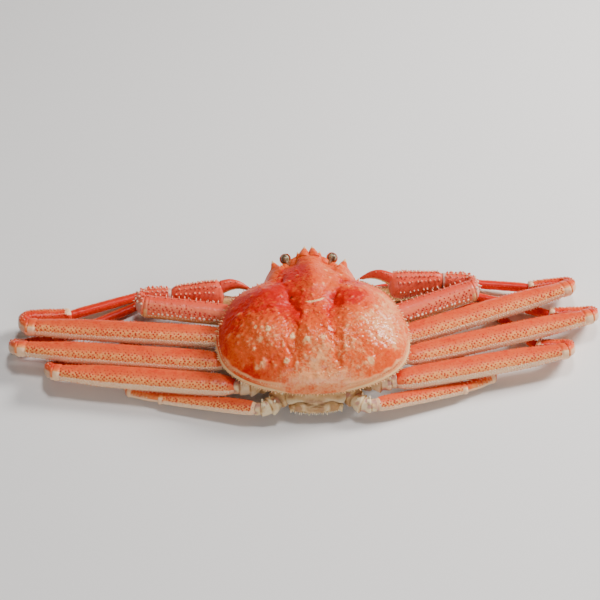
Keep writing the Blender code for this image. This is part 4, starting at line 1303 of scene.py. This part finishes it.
def limb_rows(side, limb, kind, sizes, profiles):
    """Sections and stations of each segment from the hip out, and the last segment's direction."""
    segments = (limb.merus, limb.carpus, limb.hand, limb.tip)[:len(sizes)]
    hip = on_side(limb.hip, side)
    along = segment_vector(side, limb.merus, hip.z)
    fold = fold_vector(side, limb.merus.heading, limb.tilt)
    level = fold_vector(side, limb.merus.heading, 0.0)
    profile = fine_profile(profiles[0], limb.merus.length)
    rows = [straight_sections(hip, along, limb.merus.length, level, sizes[0], profile, fold)]
    for before, segment, size, shape in zip(segments, segments[1:], sizes[1:], profiles[1:]):
        last = rows[-1][-1][0]
        turn = segment.heading - before.heading
        if abs(turn) > SHARP_TURN:
            start = last._replace(middle=last.middle + along * GAP)
            joint, last = folded_sections(start, along, fold, turn, size, FOLD_PINCH[kind], FOLD_ROOM[kind])
            onward = segment_vector(side, segment, last.middle.z)
            profile = fine_profile(((0.0, 1.0),) + shape[1:], segment.length)
            row = joint + straight_sections(last.middle, onward, segment.length, last.wide, size, profile)
        else:
            onward = segment_vector(side, segment, last.middle.z)
            plane = (along + onward).normalized()
            rows[-1][-1] = (mitred(last, along, plane), 1.0)
            start = last.middle + plane * GAP
            profile = fine_profile(shape, segment.length)
            row = straight_sections(start, onward, segment.length, last.wide, size, profile)
            row[0] = (mitred(row[0][0], onward, plane), 0.0)
        rows.append(row)
        along = onward
        fold = fold_vector(side, segment.heading, 0.0)
    return [[(upward(section), station) for section, station in row] for row in rows], along


def section_at(rows, share):
    """The section a share of the way along a row of sections."""
    number, part = walked([section.middle for section, _ in rows], share)
    before, after = rows[number][0], rows[number + 1][0]
    return Section(before.middle.lerp(after.middle, part),
                   before.wide.lerp(after.wide, part).normalized(),
                   before.high.lerp(after.high, part).normalized(),
                   mixed(before.half_wide, after.half_wide, part),
                   mixed(before.half_high, after.half_high, part))


def add_rows(skin, rows, lines, dice):
    """Roots of the rows of grains and spines along a segment."""
    length = length_of([section.middle for section, _ in rows])
    for number, line in enumerate(lines):
        count = max(int((line.last - line.first) * length / line.spacing), 2)
        for index in range(count):
            share = (index + 0.5 * (number % 2) + 0.25 + dice.uniform(-0.22, 0.22)) / count
            section = section_at(rows, mixed(line.first, line.last, min(max(share, 0.0), 1.0)))
            angle = line.angle + lean(section) + dice.uniform(-1.3, 1.3) / line.radius
            place, out = ring_place(section, angle, SQUARENESS)
            sink = line.radius * SINKS[line.kind]
            height = line.height + (sink if line.kind == SPINE else 0.0)
            skin.root(place - out * sink, out, line.radius, height, line.tone, line.kind)


def angle_band(angle, low, high, soft):
    """1 between two angles round a limb and 0 outside them, with soft ends."""
    return eased((angle - low) / soft + 0.5) * eased((high - angle) / soft + 0.5)


def mark_worn_side(marks, station, angle):
    """The pale, patchy outer side of a claw's merus."""
    patch = noise.noise(Vector((station * 14.0, angle / 14.0, 0.0)))
    outer = angle_band(angle, 120.0, 176.0, 24.0)
    marks["red"] -= 1.6 * ramp(station, 0.3, 0.8) * outer * eased(patch + 0.6)


def mark_merus_end(marks, station, lower):
    """The redder start of a merus, and the groove and the pale cap at its end."""
    marks["red"] += 0.7 * hump(station, 0.035)
    marks["pale"] = max(marks["pale"], lower * ramp(station, 0.955, 0.965))
    marks["dip"] = 1.5 * hump(station - MERUS_GROOVE, 0.005)
    marks["soft"] = 0.7 * hump(station - MERUS_GROOVE, 0.004) * lower


def mark_fold(marks, station, angle):
    """The soft skin on the outer side of a folded joint."""
    outer = angle_band(angle, 128.0, 262.0, 26.0)
    marks["soft"] = outer * ramp(station, -0.98, -0.93) * ramp(station, -0.40, -0.56)
    marks["dip"] = 2.0 * marks["soft"]
    marks["pale"] *= 1.0 - 0.4 * marks["soft"]


def mark_carpus_end(marks, station, angle):
    """The pale knob at the end of a leg's carpus."""
    upper = angle_band(angle, 50.0, 320.0, 24.0)
    marks["pale"] = max(marks["pale"], 0.9 * upper * ramp(station, 0.82, 0.88))
    marks["rise"] = 0.6 * hump(station - 0.93, 0.05)


def segment_marks(kind):
    """What the finish reads along and round a segment of that kind."""
    def marks_at(station, angle):
        # Deeper red on the propodus and dactyl is partly painted shade
        red = REDNESS_AND_PAINTED_SHADE[kind] + 0.45 * angle_band(angle, 20.0, 104.0, 50.0)
        red -= 0.55 * angle_band(angle, 112.0, 176.0, 44.0)
        marks = {"pale": angle_band(angle, *PALE_SIDES[kind], 22.0), "red": red}
        if kind == "claw_merus":
            mark_worn_side(marks, station, angle)
            mark_merus_end(marks, station, angle_band(angle, 150.0, 320.0, 20.0))
        elif kind.endswith("merus"):
            mark_merus_end(marks, station, angle_band(angle, 124.0, 320.0, 24.0))
        elif station < 0.0:
            mark_fold(marks, station, angle)
        elif kind == "carpus":
            mark_carpus_end(marks, station, angle)
        elif kind == "claw_carpus":
            marks["soft"] = 0.8 * ramp(station, 0.86, 0.92)
        if kind == "last_merus":
            marks["pale"] = max(marks["pale"], ramp(station, 0.055, 0.035))
            marks["rise"] = 0.2 * hump(station - 0.03, 0.03)
        elif kind == "dactyl":
            marks["pale"] = max(marks["pale"], 0.5 * ramp(station, 0.6, 0.9))
        marks["red"] = max(min(marks["red"], 1.0), -1.0)
        return marks

    return marks_at


def segment_skin(node, rows, kind):
    """One segment of a limb with its rows of grains and spines."""
    skin = Skin()
    add_tube(skin, rows, segment_marks(kind), squareness=SQUARENESS, relief=LIMB_RELIEF)
    add_rows(skin, rows, ROWS[kind], random.Random(node))
    return skin


def leg_pieces(name, side, limb):
    """The merus, carpus, propodus and dactyl of a walking leg."""
    last = name.endswith("4")
    scales = LAST_LEG_SCALES if last else dict.fromkeys(LEG_SIZES, 1.0)
    sizes = [scaled(LEG_SIZES[key], scales[key]) for key in LEG_SIZES]
    rows, _ = limb_rows(side, limb, "leg", sizes, [PROFILES[key] for key in LEG_SIZES])
    for key, row in zip(LEG_SIZES, rows):
        kind = "last_merus" if last and key == "merus" else key
        node = name + "_" + key
        yield node, "leg", segment_skin(node, row, kind)


def finger_rows(start, palm, along, level, length, bulge):
    """Sections of a curved finger from the palm's end, above its middle at 1 and below at -1."""
    rows = []
    for share, offset, size in spline(FINGER_PROFILE, FINGER_STEPS):
        rise = level * (offset + bulge * math.sin(math.pi * min(share, 1.0)))
        place = start + along * (length * share) + palm.high * rise
        full = size * mixed(FINGER_FULLNESS, 1.0, min(share * 2.0, 1.0))
        rows.append((Section(place, palm.wide, palm.high, *scaled(FINGER_SIZE, full)), share))
    return rows


def add_finger(skin, rows, level):
    """The skin of a finger: red above, pale below, with a dark tip."""
    def marks_at(station, angle):
        pale = 0.9 if level < 0.0 else angle_band(angle, 168.0, 350.0, 40.0)
        return {"pale": pale, "red": 0.6, "dark": 0.3 * ramp(station, 0.85, 1.0)}

    add_tube(skin, rows, marks_at, sides=TUBE_SIDES // 2, relief=0.12)


def palm_skin(rows, fixed, dice):
    """The palm of a claw with its fixed finger and that finger's teeth."""
    skin = Skin()
    add_rows(skin, rows, ROWS["palm"], dice)
    add_dome(rows, PALM_BULGE)
    add_tube(skin, rows, segment_marks("palm"), squareness=SQUARENESS, relief=LIMB_RELIEF)
    add_finger(skin, fixed, -1.0)
    add_rows(skin, fixed[1:], (FINGER_TEETH._replace(angle=90.0),), dice)
    return skin


def moving_finger_skin(rows, dice):
    """The movable finger of a claw, with spines on its back and teeth on its inner edge."""
    skin = Skin()
    add_finger(skin, rows, 1.0)
    add_rows(skin, rows[FINGER_STEPS // 2:], (FINGER_SPINES,), dice)
    add_rows(skin, rows, (FINGER_TEETH,), dice)
    return skin


def claw_pieces(name, side, limb):
    """The merus, carpus, palm with its fixed finger, and movable finger of a claw."""
    profiles = [PROFILES["claw_merus"], PROFILES["carpus"], PROFILES["palm"]]
    rows, along = limb_rows(side, limb, "claw", list(CLAW_SIZES.values()), profiles)
    for key, row in zip(("merus", "carpus"), rows):
        node = name + "_" + key
        yield node, "claw", segment_skin(node, row, "claw_" + key)
    dice = random.Random(name)
    end = rows[-1][-1][0]
    onward = segment_vector(side, limb.tip, end.middle.z)
    fixed = finger_rows(end.middle, end, onward, -1.0, limb.tip.length, FINGER_BULGE["fixed"])
    first = fixed[0][0]
    fixed.insert(0, (first._replace(middle=first.middle - along * FINGER_ROOT), 0.0))
    yield name + "_palm", "claw", palm_skin(rows[-1], fixed, dice)
    start = end.middle + along * GAP
    moving = finger_rows(start, end, onward, 1.0, limb.tip.length, FINGER_BULGE["finger"])
    yield name + "_finger", "claw", moving_finger_skin(moving, dice)


def base_marks(station, angle):
    """What the finish reads on a base, whose plates are cupped and ridged, with painted highlights on the
    ridges and painted shade between them.
    """
    number = max(index for index, joint in enumerate(BASE_JOINTS[:-1]) if station >= joint)
    start, end = BASE_JOINTS[number:number + 2]
    share = (station - start) / (end - start)
    turn = math.radians(angle)
    flare = eased(share * 1.1) - 1.3 * ramp(share, 0.86, 1.0)
    ridge = share * math.cos(3.0 * turn + math.radians(50.0 * number))
    shade = noise.noise(Vector((station * 8.0, 1.4 * math.cos(turn), 1.4 * math.sin(turn))))
    seam = max(hump(share, 0.12), hump(share - 1.0, 0.08))
    return {
        "rise": mixed(1.2, 0.3, number / 3.0) * flare + 0.5 * ridge,
        # Paler on the ridges and darker between them: painted highlights and painted shade
        "red": PLATE_DEPTHS[number] + 1.3 * seam - 0.45 * ridge + 1.6 * shade,
        "soft": PLATE_MAUVES[number] * ramp(shade, -0.25, 0.05) + 0.7 * ramp(shade, 0.12, 0.32),
        "dark": 0.42 * seam,
        "dip": 0.8 * abs(shade),
    }


def base_rows(name, side, limb, scale):
    """Sections of a limb's base, bending from inside the body to the hip."""
    start = on_side(BASE_ROOTS[name.replace("_left", "").replace("_right", "")], side)
    hip = on_side(limb.hip, side)
    along = segment_vector(side, limb.merus, hip.z)
    end = hip + along * BASE_OVERLAP
    bend = end - along * (end - start).length * 0.5
    rows = []
    for index in range(BASE_STEPS + 1):
        share = index / BASE_STEPS
        near = start.lerp(bend, share)
        far = bend.lerp(end, share)
        tangent = (far - near).normalized()
        wide = Vector((-tangent.y, tangent.x, 0.0)).normalized()
        reach = share * (len(BASE_SIZES) - 1)
        span = min(int(reach), len(BASE_SIZES) - 2)
        sizes = [mixed(low, high, reach - span) * scale for low, high in zip(*BASE_SIZES[span:span + 2])]
        rows.append((upward(Section(near.lerp(far, share), wide, tangent.cross(wide), *sizes)), share))
    return rows


def base_skin(name, side, limb):
    """The short pale base of a limb with spines at its joints."""
    scale = LAST_BASE_SCALE if name.endswith("4") else 1.0
    rows = base_rows(name, side, limb, scale)
    skin = Skin()
    add_tube(skin, rows, base_marks, relief=0.18)
    radius, height = BASE_SPINE_SIZE
    for joint in BASE_JOINTS[1:-1]:
        for angle in BASE_SPINES:
            place, out = ring_place(section_at(rows, joint - 0.03), angle, 1.0)
            skin.root(place, (out + UP * 0.4).normalized(), radius, height * scale, -1.0, SPINE)
    return skin


def limb_pieces():
    """Every segment of every limb."""
    for name, limb in LIMBS.items():
        side = -1.0 if "_left" in name else 1.0
        yield name + "_base", "cream", base_skin(name, side, limb)
        pieces = claw_pieces if name.startswith("claw") else leg_pieces
        yield from pieces(name, side, limb)


def carapace_skin():
    """The shell of the back with its horns, brows, eye cups, tubercles and rim teeth."""
    skin = Skin()
    add_back(skin)
    add_horns_and_brows(skin)
    add_eye_cup(skin, 1.0)
    add_eye_cup(skin, -1.0)
    add_rim_teeth(skin)
    return skin


def thorax_skin():
    """The underside that carries the limbs, with furrows between its plates."""
    skin = Skin()
    edge = shell_edge(6)
    loops = []
    for height, width, length in spline(BODY_SECTIONS, 5):
        loop = []
        for point in edge:
            forward = SHELL_MIDDLE.y + (point.y - SHELL_MIDDLE.y) * length
            place = Vector((point.x * width, forward, max(height, 0.0)))
            bearing = math.degrees(math.atan2(abs(place.x), place.y))
            furrow = max(hump(bearing - middle, 3.0) for middle in BODY_FURROWS)
            place = place.lerp(Vector((SHELL_MIDDLE.x, SHELL_MIDDLE.y, place.z)), 0.035 * furrow)
            loop.append(skin.point(place, {"red": 0.5 * furrow, "soft": 0.4 * furrow}))
        loops.append(loop)
    skin.bridge(loops)
    skin.close(loops[0], SHELL_MIDDLE, {})
    skin.close(loops[-1], SHELL_MIDDLE + UP * BODY_TOP, {})
    return skin


def abdomen_rows():
    """Fine sections of the whole abdomen with their stations, narrower towards its lip."""
    course = spline([(0.0, forward, height) for forward, height, _, _ in ABDOMEN_COURSE], ABDOMEN_STEPS)
    sizes = spline([(wide, high, 0.0) for _, _, wide, high in ABDOMEN_COURSE], ABDOMEN_STEPS)
    rows = []
    for index, section in enumerate(course_sections(course, [size.xy for size in sizes], ACROSS)):
        station = index / ABDOMEN_STEPS
        narrow = 1.0 - 0.13 * ramp(station, 1.3, 2.5)
        rows.append((section._replace(half_wide=section.half_wide * narrow), station))
    return rows


def lip_station(share):
    """The station of the abdomen's lip at a share of its half width."""
    return ABDOMEN_LIP - 0.45 * share * share


def abdomen_marks(station, angle):
    """What the finish reads on the abdomen: a creased plate with a lip, joints under the belly, and painted
    shade under the shell's rim and below the lip.
    """
    share = squared(math.cos(math.radians(angle)), ABDOMEN_SQUARENESS)
    crease = station - ABDOMEN_CREASE - 0.42 * hump(share, 0.3) - 0.25 * ramp(abs(share), 0.55, 0.95)
    groove = max(hump(crease, 0.06), max(hump(station - joint, 0.05) for joint in ABDOMEN_JOINTS))
    past = eased((station - lip_station(share)) / 0.12)
    lip = eased(crease / 0.25) * (1.0 - past)
    folds = noise.noise(Vector((9.0 * share, 0.9 * crease, 0.0)))
    mottle = noise.noise(Vector((3.5 * share, 1.8 * station, 4.0)))
    # Past the lip the abdomen is drawn in, and its colour there is darkened as painted shade
    under = past * ramp(station, 6.0, 5.0)
    # Painted shade along the top, under the shell's rim
    shade = 0.62 * ramp(station, 1.30, 1.05)
    swell = 0.5 * hump(share, 0.4) * hump(station - 1.5, 0.4)
    return {
        "red": 1.5 * groove + 1.8 * mottle + lip * (0.5 + 2.2 * folds) + 1.2 * under,
        "soft": 0.35 * ramp(mottle, 0.05, 0.35),
        "dark": 0.6 * groove + 0.35 * under + shade + 0.12 * lip,
        "dip": 3.0 * groove,
        "rise": swell + lip * (0.6 + 1.4 * folds) - 1.6 * under,
    }


def add_fringe(skin, rows):
    """Teeth along the abdomen's lip, with a pale lobe at each end."""
    dice = random.Random(SEED)
    count, length, radius = FRINGE
    for index in range(count):
        share = mixed(-0.9, 0.9, index / (count - 1))
        section = rows[round(lip_station(share) * ABDOMEN_STEPS)][0]
        turn = math.degrees(math.acos(squared(share, 1.0 / ABDOMEN_SQUARENESS)))
        place, _ = ring_place(section, turn, ABDOMEN_SQUARENESS)
        out = Vector((0.4 * share + dice.uniform(-0.1, 0.1), -0.55, -0.8)).normalized()
        skin.root(place, out, radius, (length + 0.4) * dice.uniform(0.85, 1.2), -0.8, SPINE)
    for side in (1.0, -1.0):
        section = rows[round(LOBE_STATION * ABDOMEN_STEPS)][0]
        place, out = ring_place(section, 90.0 - side * 62.0, ABDOMEN_SQUARENESS)
        skin.root(place, out, LOBE_RADIUS, 1.2, 0.0, GRAIN)
        skin.root(place, Vector((0.3 * side, -0.5, -0.8)).normalized(), LOBE_RADIUS, 2.9, -0.3, SPINE)


def abdomen_skins():
    """The abdomen folded round the back with its toothed lip, and the flap under the belly."""
    rows = abdomen_rows()
    parting = ABDOMEN_PARTING * ABDOMEN_STEPS
    rear = Skin()
    add_tube(rear, rows[:parting + 1], abdomen_marks, squareness=ABDOMEN_SQUARENESS, relief=0.3)
    add_fringe(rear, rows)
    flap = Skin()
    add_tube(flap, rows[parting:], abdomen_marks, squareness=ABDOMEN_SQUARENESS, relief=0.2)
    return rear, flap


def ball_spot(middle, along, radius, turn, station):
    """Place, radius and station of a ball's section at an angle over its equator."""
    turn = math.radians(turn)
    return middle + along * (radius * math.sin(turn)), radius * math.cos(turn), station


def add_eye_cup(skin, side):
    """The cup of shell round an eye: up its outer side to the rim, and down into its inside, darkened as
    painted shade.
    """
    middle = on_side(EYE_MIDDLE, side)
    along = on_side(CUP_AXIS, side).normalized()
    outside = CUP_OUTLINE[0][1]
    spots = [ball_spot(middle, along, radius, turn, float(radius < outside)) for turn, radius in CUP_OUTLINE]
    # The inside of the cup is darkened as painted shade round the eye
    add_tube(skin, round_rows(along, spots), lambda inside, angle: {"red": 0.3, "dark": 0.5 * inside},
             sides=36, relief=0.25)


def eye_skin(side):
    """An eye on its short stalk, in the notch beside the rostrum."""
    root, middle = on_side(EYE_ROOT, side), on_side(EYE_MIDDLE, side)
    along = (middle - root).normalized()
    spots = [(root, EYE_STALK_RADIUS, 1.0)]
    for step in range(EYE_RINGS + 1):
        spots.append(ball_spot(middle, along, EYE_RADIUS, mixed(*EYE_SPAN, step / EYE_RINGS), 0.0))
    skin = Skin()
    add_tube(skin, round_rows(along, spots), lambda stalk, angle: {"pale": stalk, "red": 0.5}, sides=40)
    return skin


def feeler_skin(side):
    """A short ringed feeler from beside the mouth, hanging forward."""
    course = spline([on_side(point, side) for point in FEELER_COURSE], 8)
    radii = spline([(radius, radius, 0.0) for radius in FEELER_RADII], 8)
    sizes = [scaled(radius, 1.0 - 0.12 * (index % 2)) for index, radius in enumerate(radii)]
    rows = [(section, 0.0) for section in course_sections(course, sizes, ACROSS)]
    skin = Skin()
    add_tube(skin, rows, lambda station, angle: {"red": 0.4, "pale": 0.5}, sides=16)
    return skin


def mouthpart_skin(side):
    """One of the two plates that close the mouth."""
    course = spline([on_side(point, side) for point in MOUTH_COURSE], 10)
    widths = spline([(width, 0.0, 0.0) for width in MOUTH_WIDTHS], 10)
    sections = course_sections(course, [(width.x, MOUTH_THICKNESS) for width in widths], ACROSS)

    def marks_at(station, angle):
        joint = max(hump(station - joint, 0.03) for joint in MOUTH_JOINTS)
        return {"red": 0.6 * joint, "dip": 1.5 * joint}

    skin = Skin()
    rows = [(section, index / (len(sections) - 1)) for index, section in enumerate(sections)]
    add_tube(skin, rows, marks_at, sides=28, squareness=0.8, relief=0.15)
    return skin


def crab_pieces():
    """Node, finish and skin of every piece of the crab."""
    yield "carapace", "shell", carapace_skin()
    yield "thorax", "cream", thorax_skin()
    rear, flap = abdomen_skins()
    yield "abdomen", "cream", rear
    yield "abdomen_flap", "cream", flap
    for side, word in ((-1.0, "left"), (1.0, "right")):
        yield "eye_" + word, "eye", eye_skin(side)
        yield "antenna_" + word, "claw", feeler_skin(side)
        yield "maxilliped_" + word, "cream", mouthpart_skin(side)
    yield from limb_pieces()


def shader_tree(name):
    """A new material, its tree and its main shader."""
    material = bpy.data.materials.new(name)
    material.use_nodes = True
    return material, material.node_tree, material.node_tree.nodes["Principled BSDF"]


def set_values(node, values):
    """Set a node's own inputs by their names."""
    for name, value in values.items():
        node.inputs[name].default_value = value


def read_mark(tree, name):
    """The output that reads a mark in a material."""
    return add_node(tree, "ShaderNodeAttribute", attribute_name=name).outputs["Fac"]


def noise_at(tree, scale, detail, offset=(0.0, 0.0, 0.0)):
    """A noise pattern in the piece's own space, with about this many cells a metre."""
    place = add_node(tree, "ShaderNodeTexCoord").outputs["Object"]
    moved = add_node(tree, "ShaderNodeMapping", {"Vector": place, "Location": offset}).outputs[0]
    inputs = {"Vector": moved, "Scale": scale, "Detail": detail}
    return add_node(tree, "ShaderNodeTexNoise", inputs).outputs["Fac"]


def granules_at(tree, scale):
    """A pattern of round granules in the piece's own space, highest at their middles."""
    place = add_node(tree, "ShaderNodeTexCoord").outputs["Object"]
    cells = add_node(tree, "ShaderNodeTexVoronoi", {"Vector": place, "Scale": scale}, feature="SMOOTH_F1")
    return reckoned(tree, "SUBTRACT", 1.0, cells.outputs["Distance"])


def stepped(tree, value, low, high):
    """A value spread from 0 at low to 1 at high, with soft ends."""
    return add_node(tree, "ShaderNodeMapRange", {"Value": value, "From Min": low, "From Max": high},
                    interpolation_type="SMOOTHSTEP").outputs["Result"]


def opaque(colour):
    """A colour with its fourth part, or the output that gives one."""
    return (*colour, 1.0) if isinstance(colour, tuple) else colour


def blended(tree, factor, first, second):
    """Two colours mixed by a factor from 0 to 1."""
    inputs = {0: factor, 6: opaque(first), 7: opaque(second)}
    return add_node(tree, "ShaderNodeMix", inputs, data_type="RGBA").outputs[2]


def uneven(tree, value, pattern, amount):
    """A value made uneven by a pattern about a half."""
    about_none = reckoned(tree, "SUBTRACT", pattern, 0.5)
    return reckoned(tree, "ADD", value, reckoned(tree, "MULTIPLY", about_none, amount))


def shell_colour(tree, palette, mottle):
    """The colour of a shell from its marks, with mottling of its own."""
    level = read_mark(tree, "red")
    for *pattern, weight in MOTTLES:
        fine = noise_at(tree, *pattern)
        level = uneven(tree, level, fine, mottle * weight)
    # The last and finest pattern also makes the edges of the marks ragged
    tone = read_mark(tree, "tone")
    ragged = uneven(tree, read_mark(tree, "pale"), fine, 0.6)
    spots = uneven(tree, read_mark(tree, "spot"), fine, 0.5)
    white = stepped(tree, reckoned(tree, "MULTIPLY", tone, -1.0), 0.0, 0.9)
    tips = stepped(tree, read_mark(tree, "tip"), 0.15, 0.8)
    layers = (
        (stepped(tree, level, -0.8, 0.2), palette.main),
        (stepped(tree, level, 0.2, 1.0), palette.deep),
        (stepped(tree, ragged, 0.25, 0.75), palette.pale),
        (stepped(tree, read_mark(tree, "soft"), 0.1, 0.9), palette.soft),
        (stepped(tree, spots, 0.3, 0.9), palette.pale),
        (reckoned(tree, "MULTIPLY", stepped(tree, tone, 0.0, 1.0), 0.85), palette.dots),
        (reckoned(tree, "MULTIPLY", white, tips), palette.tips),
        (stepped(tree, read_mark(tree, "dark"), 0.2, 1.0), DARK_MARKS_AND_SHADE),
    )
    colour = palette.light
    for factor, layer in layers:
        colour = blended(tree, factor, colour, layer)
    return colour


def bumped(tree, shader, height, distance):
    """A small bump from a height pattern."""
    bump = add_node(tree, "ShaderNodeBump", {"Strength": 0.6, "Distance": distance, "Height": height})
    tree.links.new(bump.outputs[0], shader.inputs["Normal"])


def shell_finish(name, palette, mottle, roughness):
    """Boiled shell, glossiest where it is wet."""
    material, tree, shader = shader_tree(name)
    grain = reckoned(tree, "MULTIPLY", noise_at(tree, *SHELL_GRAIN), GRAIN_BUMP)
    pores = noise_at(tree, *SHELL_PORES)
    granules = reckoned(tree, "MULTIPLY", granules_at(tree, GRANULE_CELLS), GRANULE_BUMP)
    bumped(tree, shader, reckoned(tree, "ADD", reckoned(tree, "ADD", grain, pores), granules), SHELL_BUMP)
    dry = add_node(tree, "ShaderNodeMapRange", {
        "Value": pores, "To Min": roughness - ROUGHNESS_SPREAD,
        "To Max": roughness + ROUGHNESS_SPREAD}).outputs["Result"]
    wet = reckoned(tree, "MULTIPLY", read_mark(tree, "wet"), WETNESS)
    tree.links.new(reckoned(tree, "SUBTRACT", dry, wet), shader.inputs["Roughness"])
    tree.links.new(shell_colour(tree, palette, mottle), shader.inputs["Base Color"])
    set_values(shader, SHELL_GLOSS)
    return material


def eye_finish():
    """Glossy cooked eye, grey-green over dark brown, pale round its stalk."""
    material, tree, shader = shader_tree("eye")
    fine = noise_at(tree, *EYE_GRAIN)
    patches = stepped(tree, uneven(tree, noise_at(tree, *EYE_PATCHES), fine, 0.3), 0.42, 0.60)
    colour = blended(tree, read_mark(tree, "pale"), blended(tree, patches, EYE_DARK, EYE_LIGHT), EYE_STALK)
    tree.links.new(colour, shader.inputs["Base Color"])
    bumped(tree, shader, fine, EYE_BUMP)
    set_values(shader, EYE_GLOSS)
    return material


def make_crab():
    """Every fine piece of the crab."""
    tree = growth_tree()
    finishes = {key: shell_finish(*look) for key, look in SHELL_LOOKS.items()}
    finishes["eye"] = eye_finish()
    for node, finish, skin in crab_pieces():
        finish_piece(node, skin, finishes[finish], SLOTS[finish], tree)


def aimed(name, data, place, back):
    """A new camera or light at a place, with its back to a direction."""
    thing = shown(name, data)
    thing.location = place
    thing.rotation_euler = back.to_track_quat("Z", "Y").to_euler()
    return thing


def make_camera():
    """The camera at the photograph's viewing angle."""
    azimuth, elevation = math.radians(VIEW_AZIMUTH), math.radians(VIEW_ELEVATION)
    axis = Vector((math.sin(azimuth) * math.cos(elevation), -math.cos(azimuth) * math.cos(elevation),
                   math.sin(elevation)))
    data = bpy.data.cameras.new("camera")
    data.lens = VIEW_LENS
    data.sensor_width = SENSOR
    data.clip_start = 0.01
    bpy.context.scene.camera = aimed("camera", data, (VIEW_TARGET + axis * VIEW_DISTANCE) * MM, axis)


def make_floor():
    """A plain pale floor."""
    data = bpy.data.meshes.new("floor")
    corners = [(across * FLOOR_REACH, forward * FLOOR_REACH, 0.0)
               for across, forward in ((-1, -1), (1, -1), (1, 1), (-1, 1))]
    data.from_pydata(corners, [], [(0, 1, 2, 3)])
    material, _, shader = shader_tree("floor")
    set_values(shader, FLOOR_LOOK)
    data.materials.append(material)
    floor = shown("floor", data)


def make_light():
    """Soft square lights that face the crab, and a pale sky."""
    for name, place, size, energy, colour in LIGHTS:
        data = bpy.data.lights.new(name, "AREA")
        data.shape = "SQUARE"
        data.size = size
        data.energy = energy
        data.color = colour
        aimed(name, data, place, Vector(place))
    world = bpy.data.worlds.new("sky")
    world.use_nodes = True
    set_values(world.node_tree.nodes["Background"], SKY)
    bpy.context.scene.world = world


make_camera()
make_crab()
make_floor()
make_light()
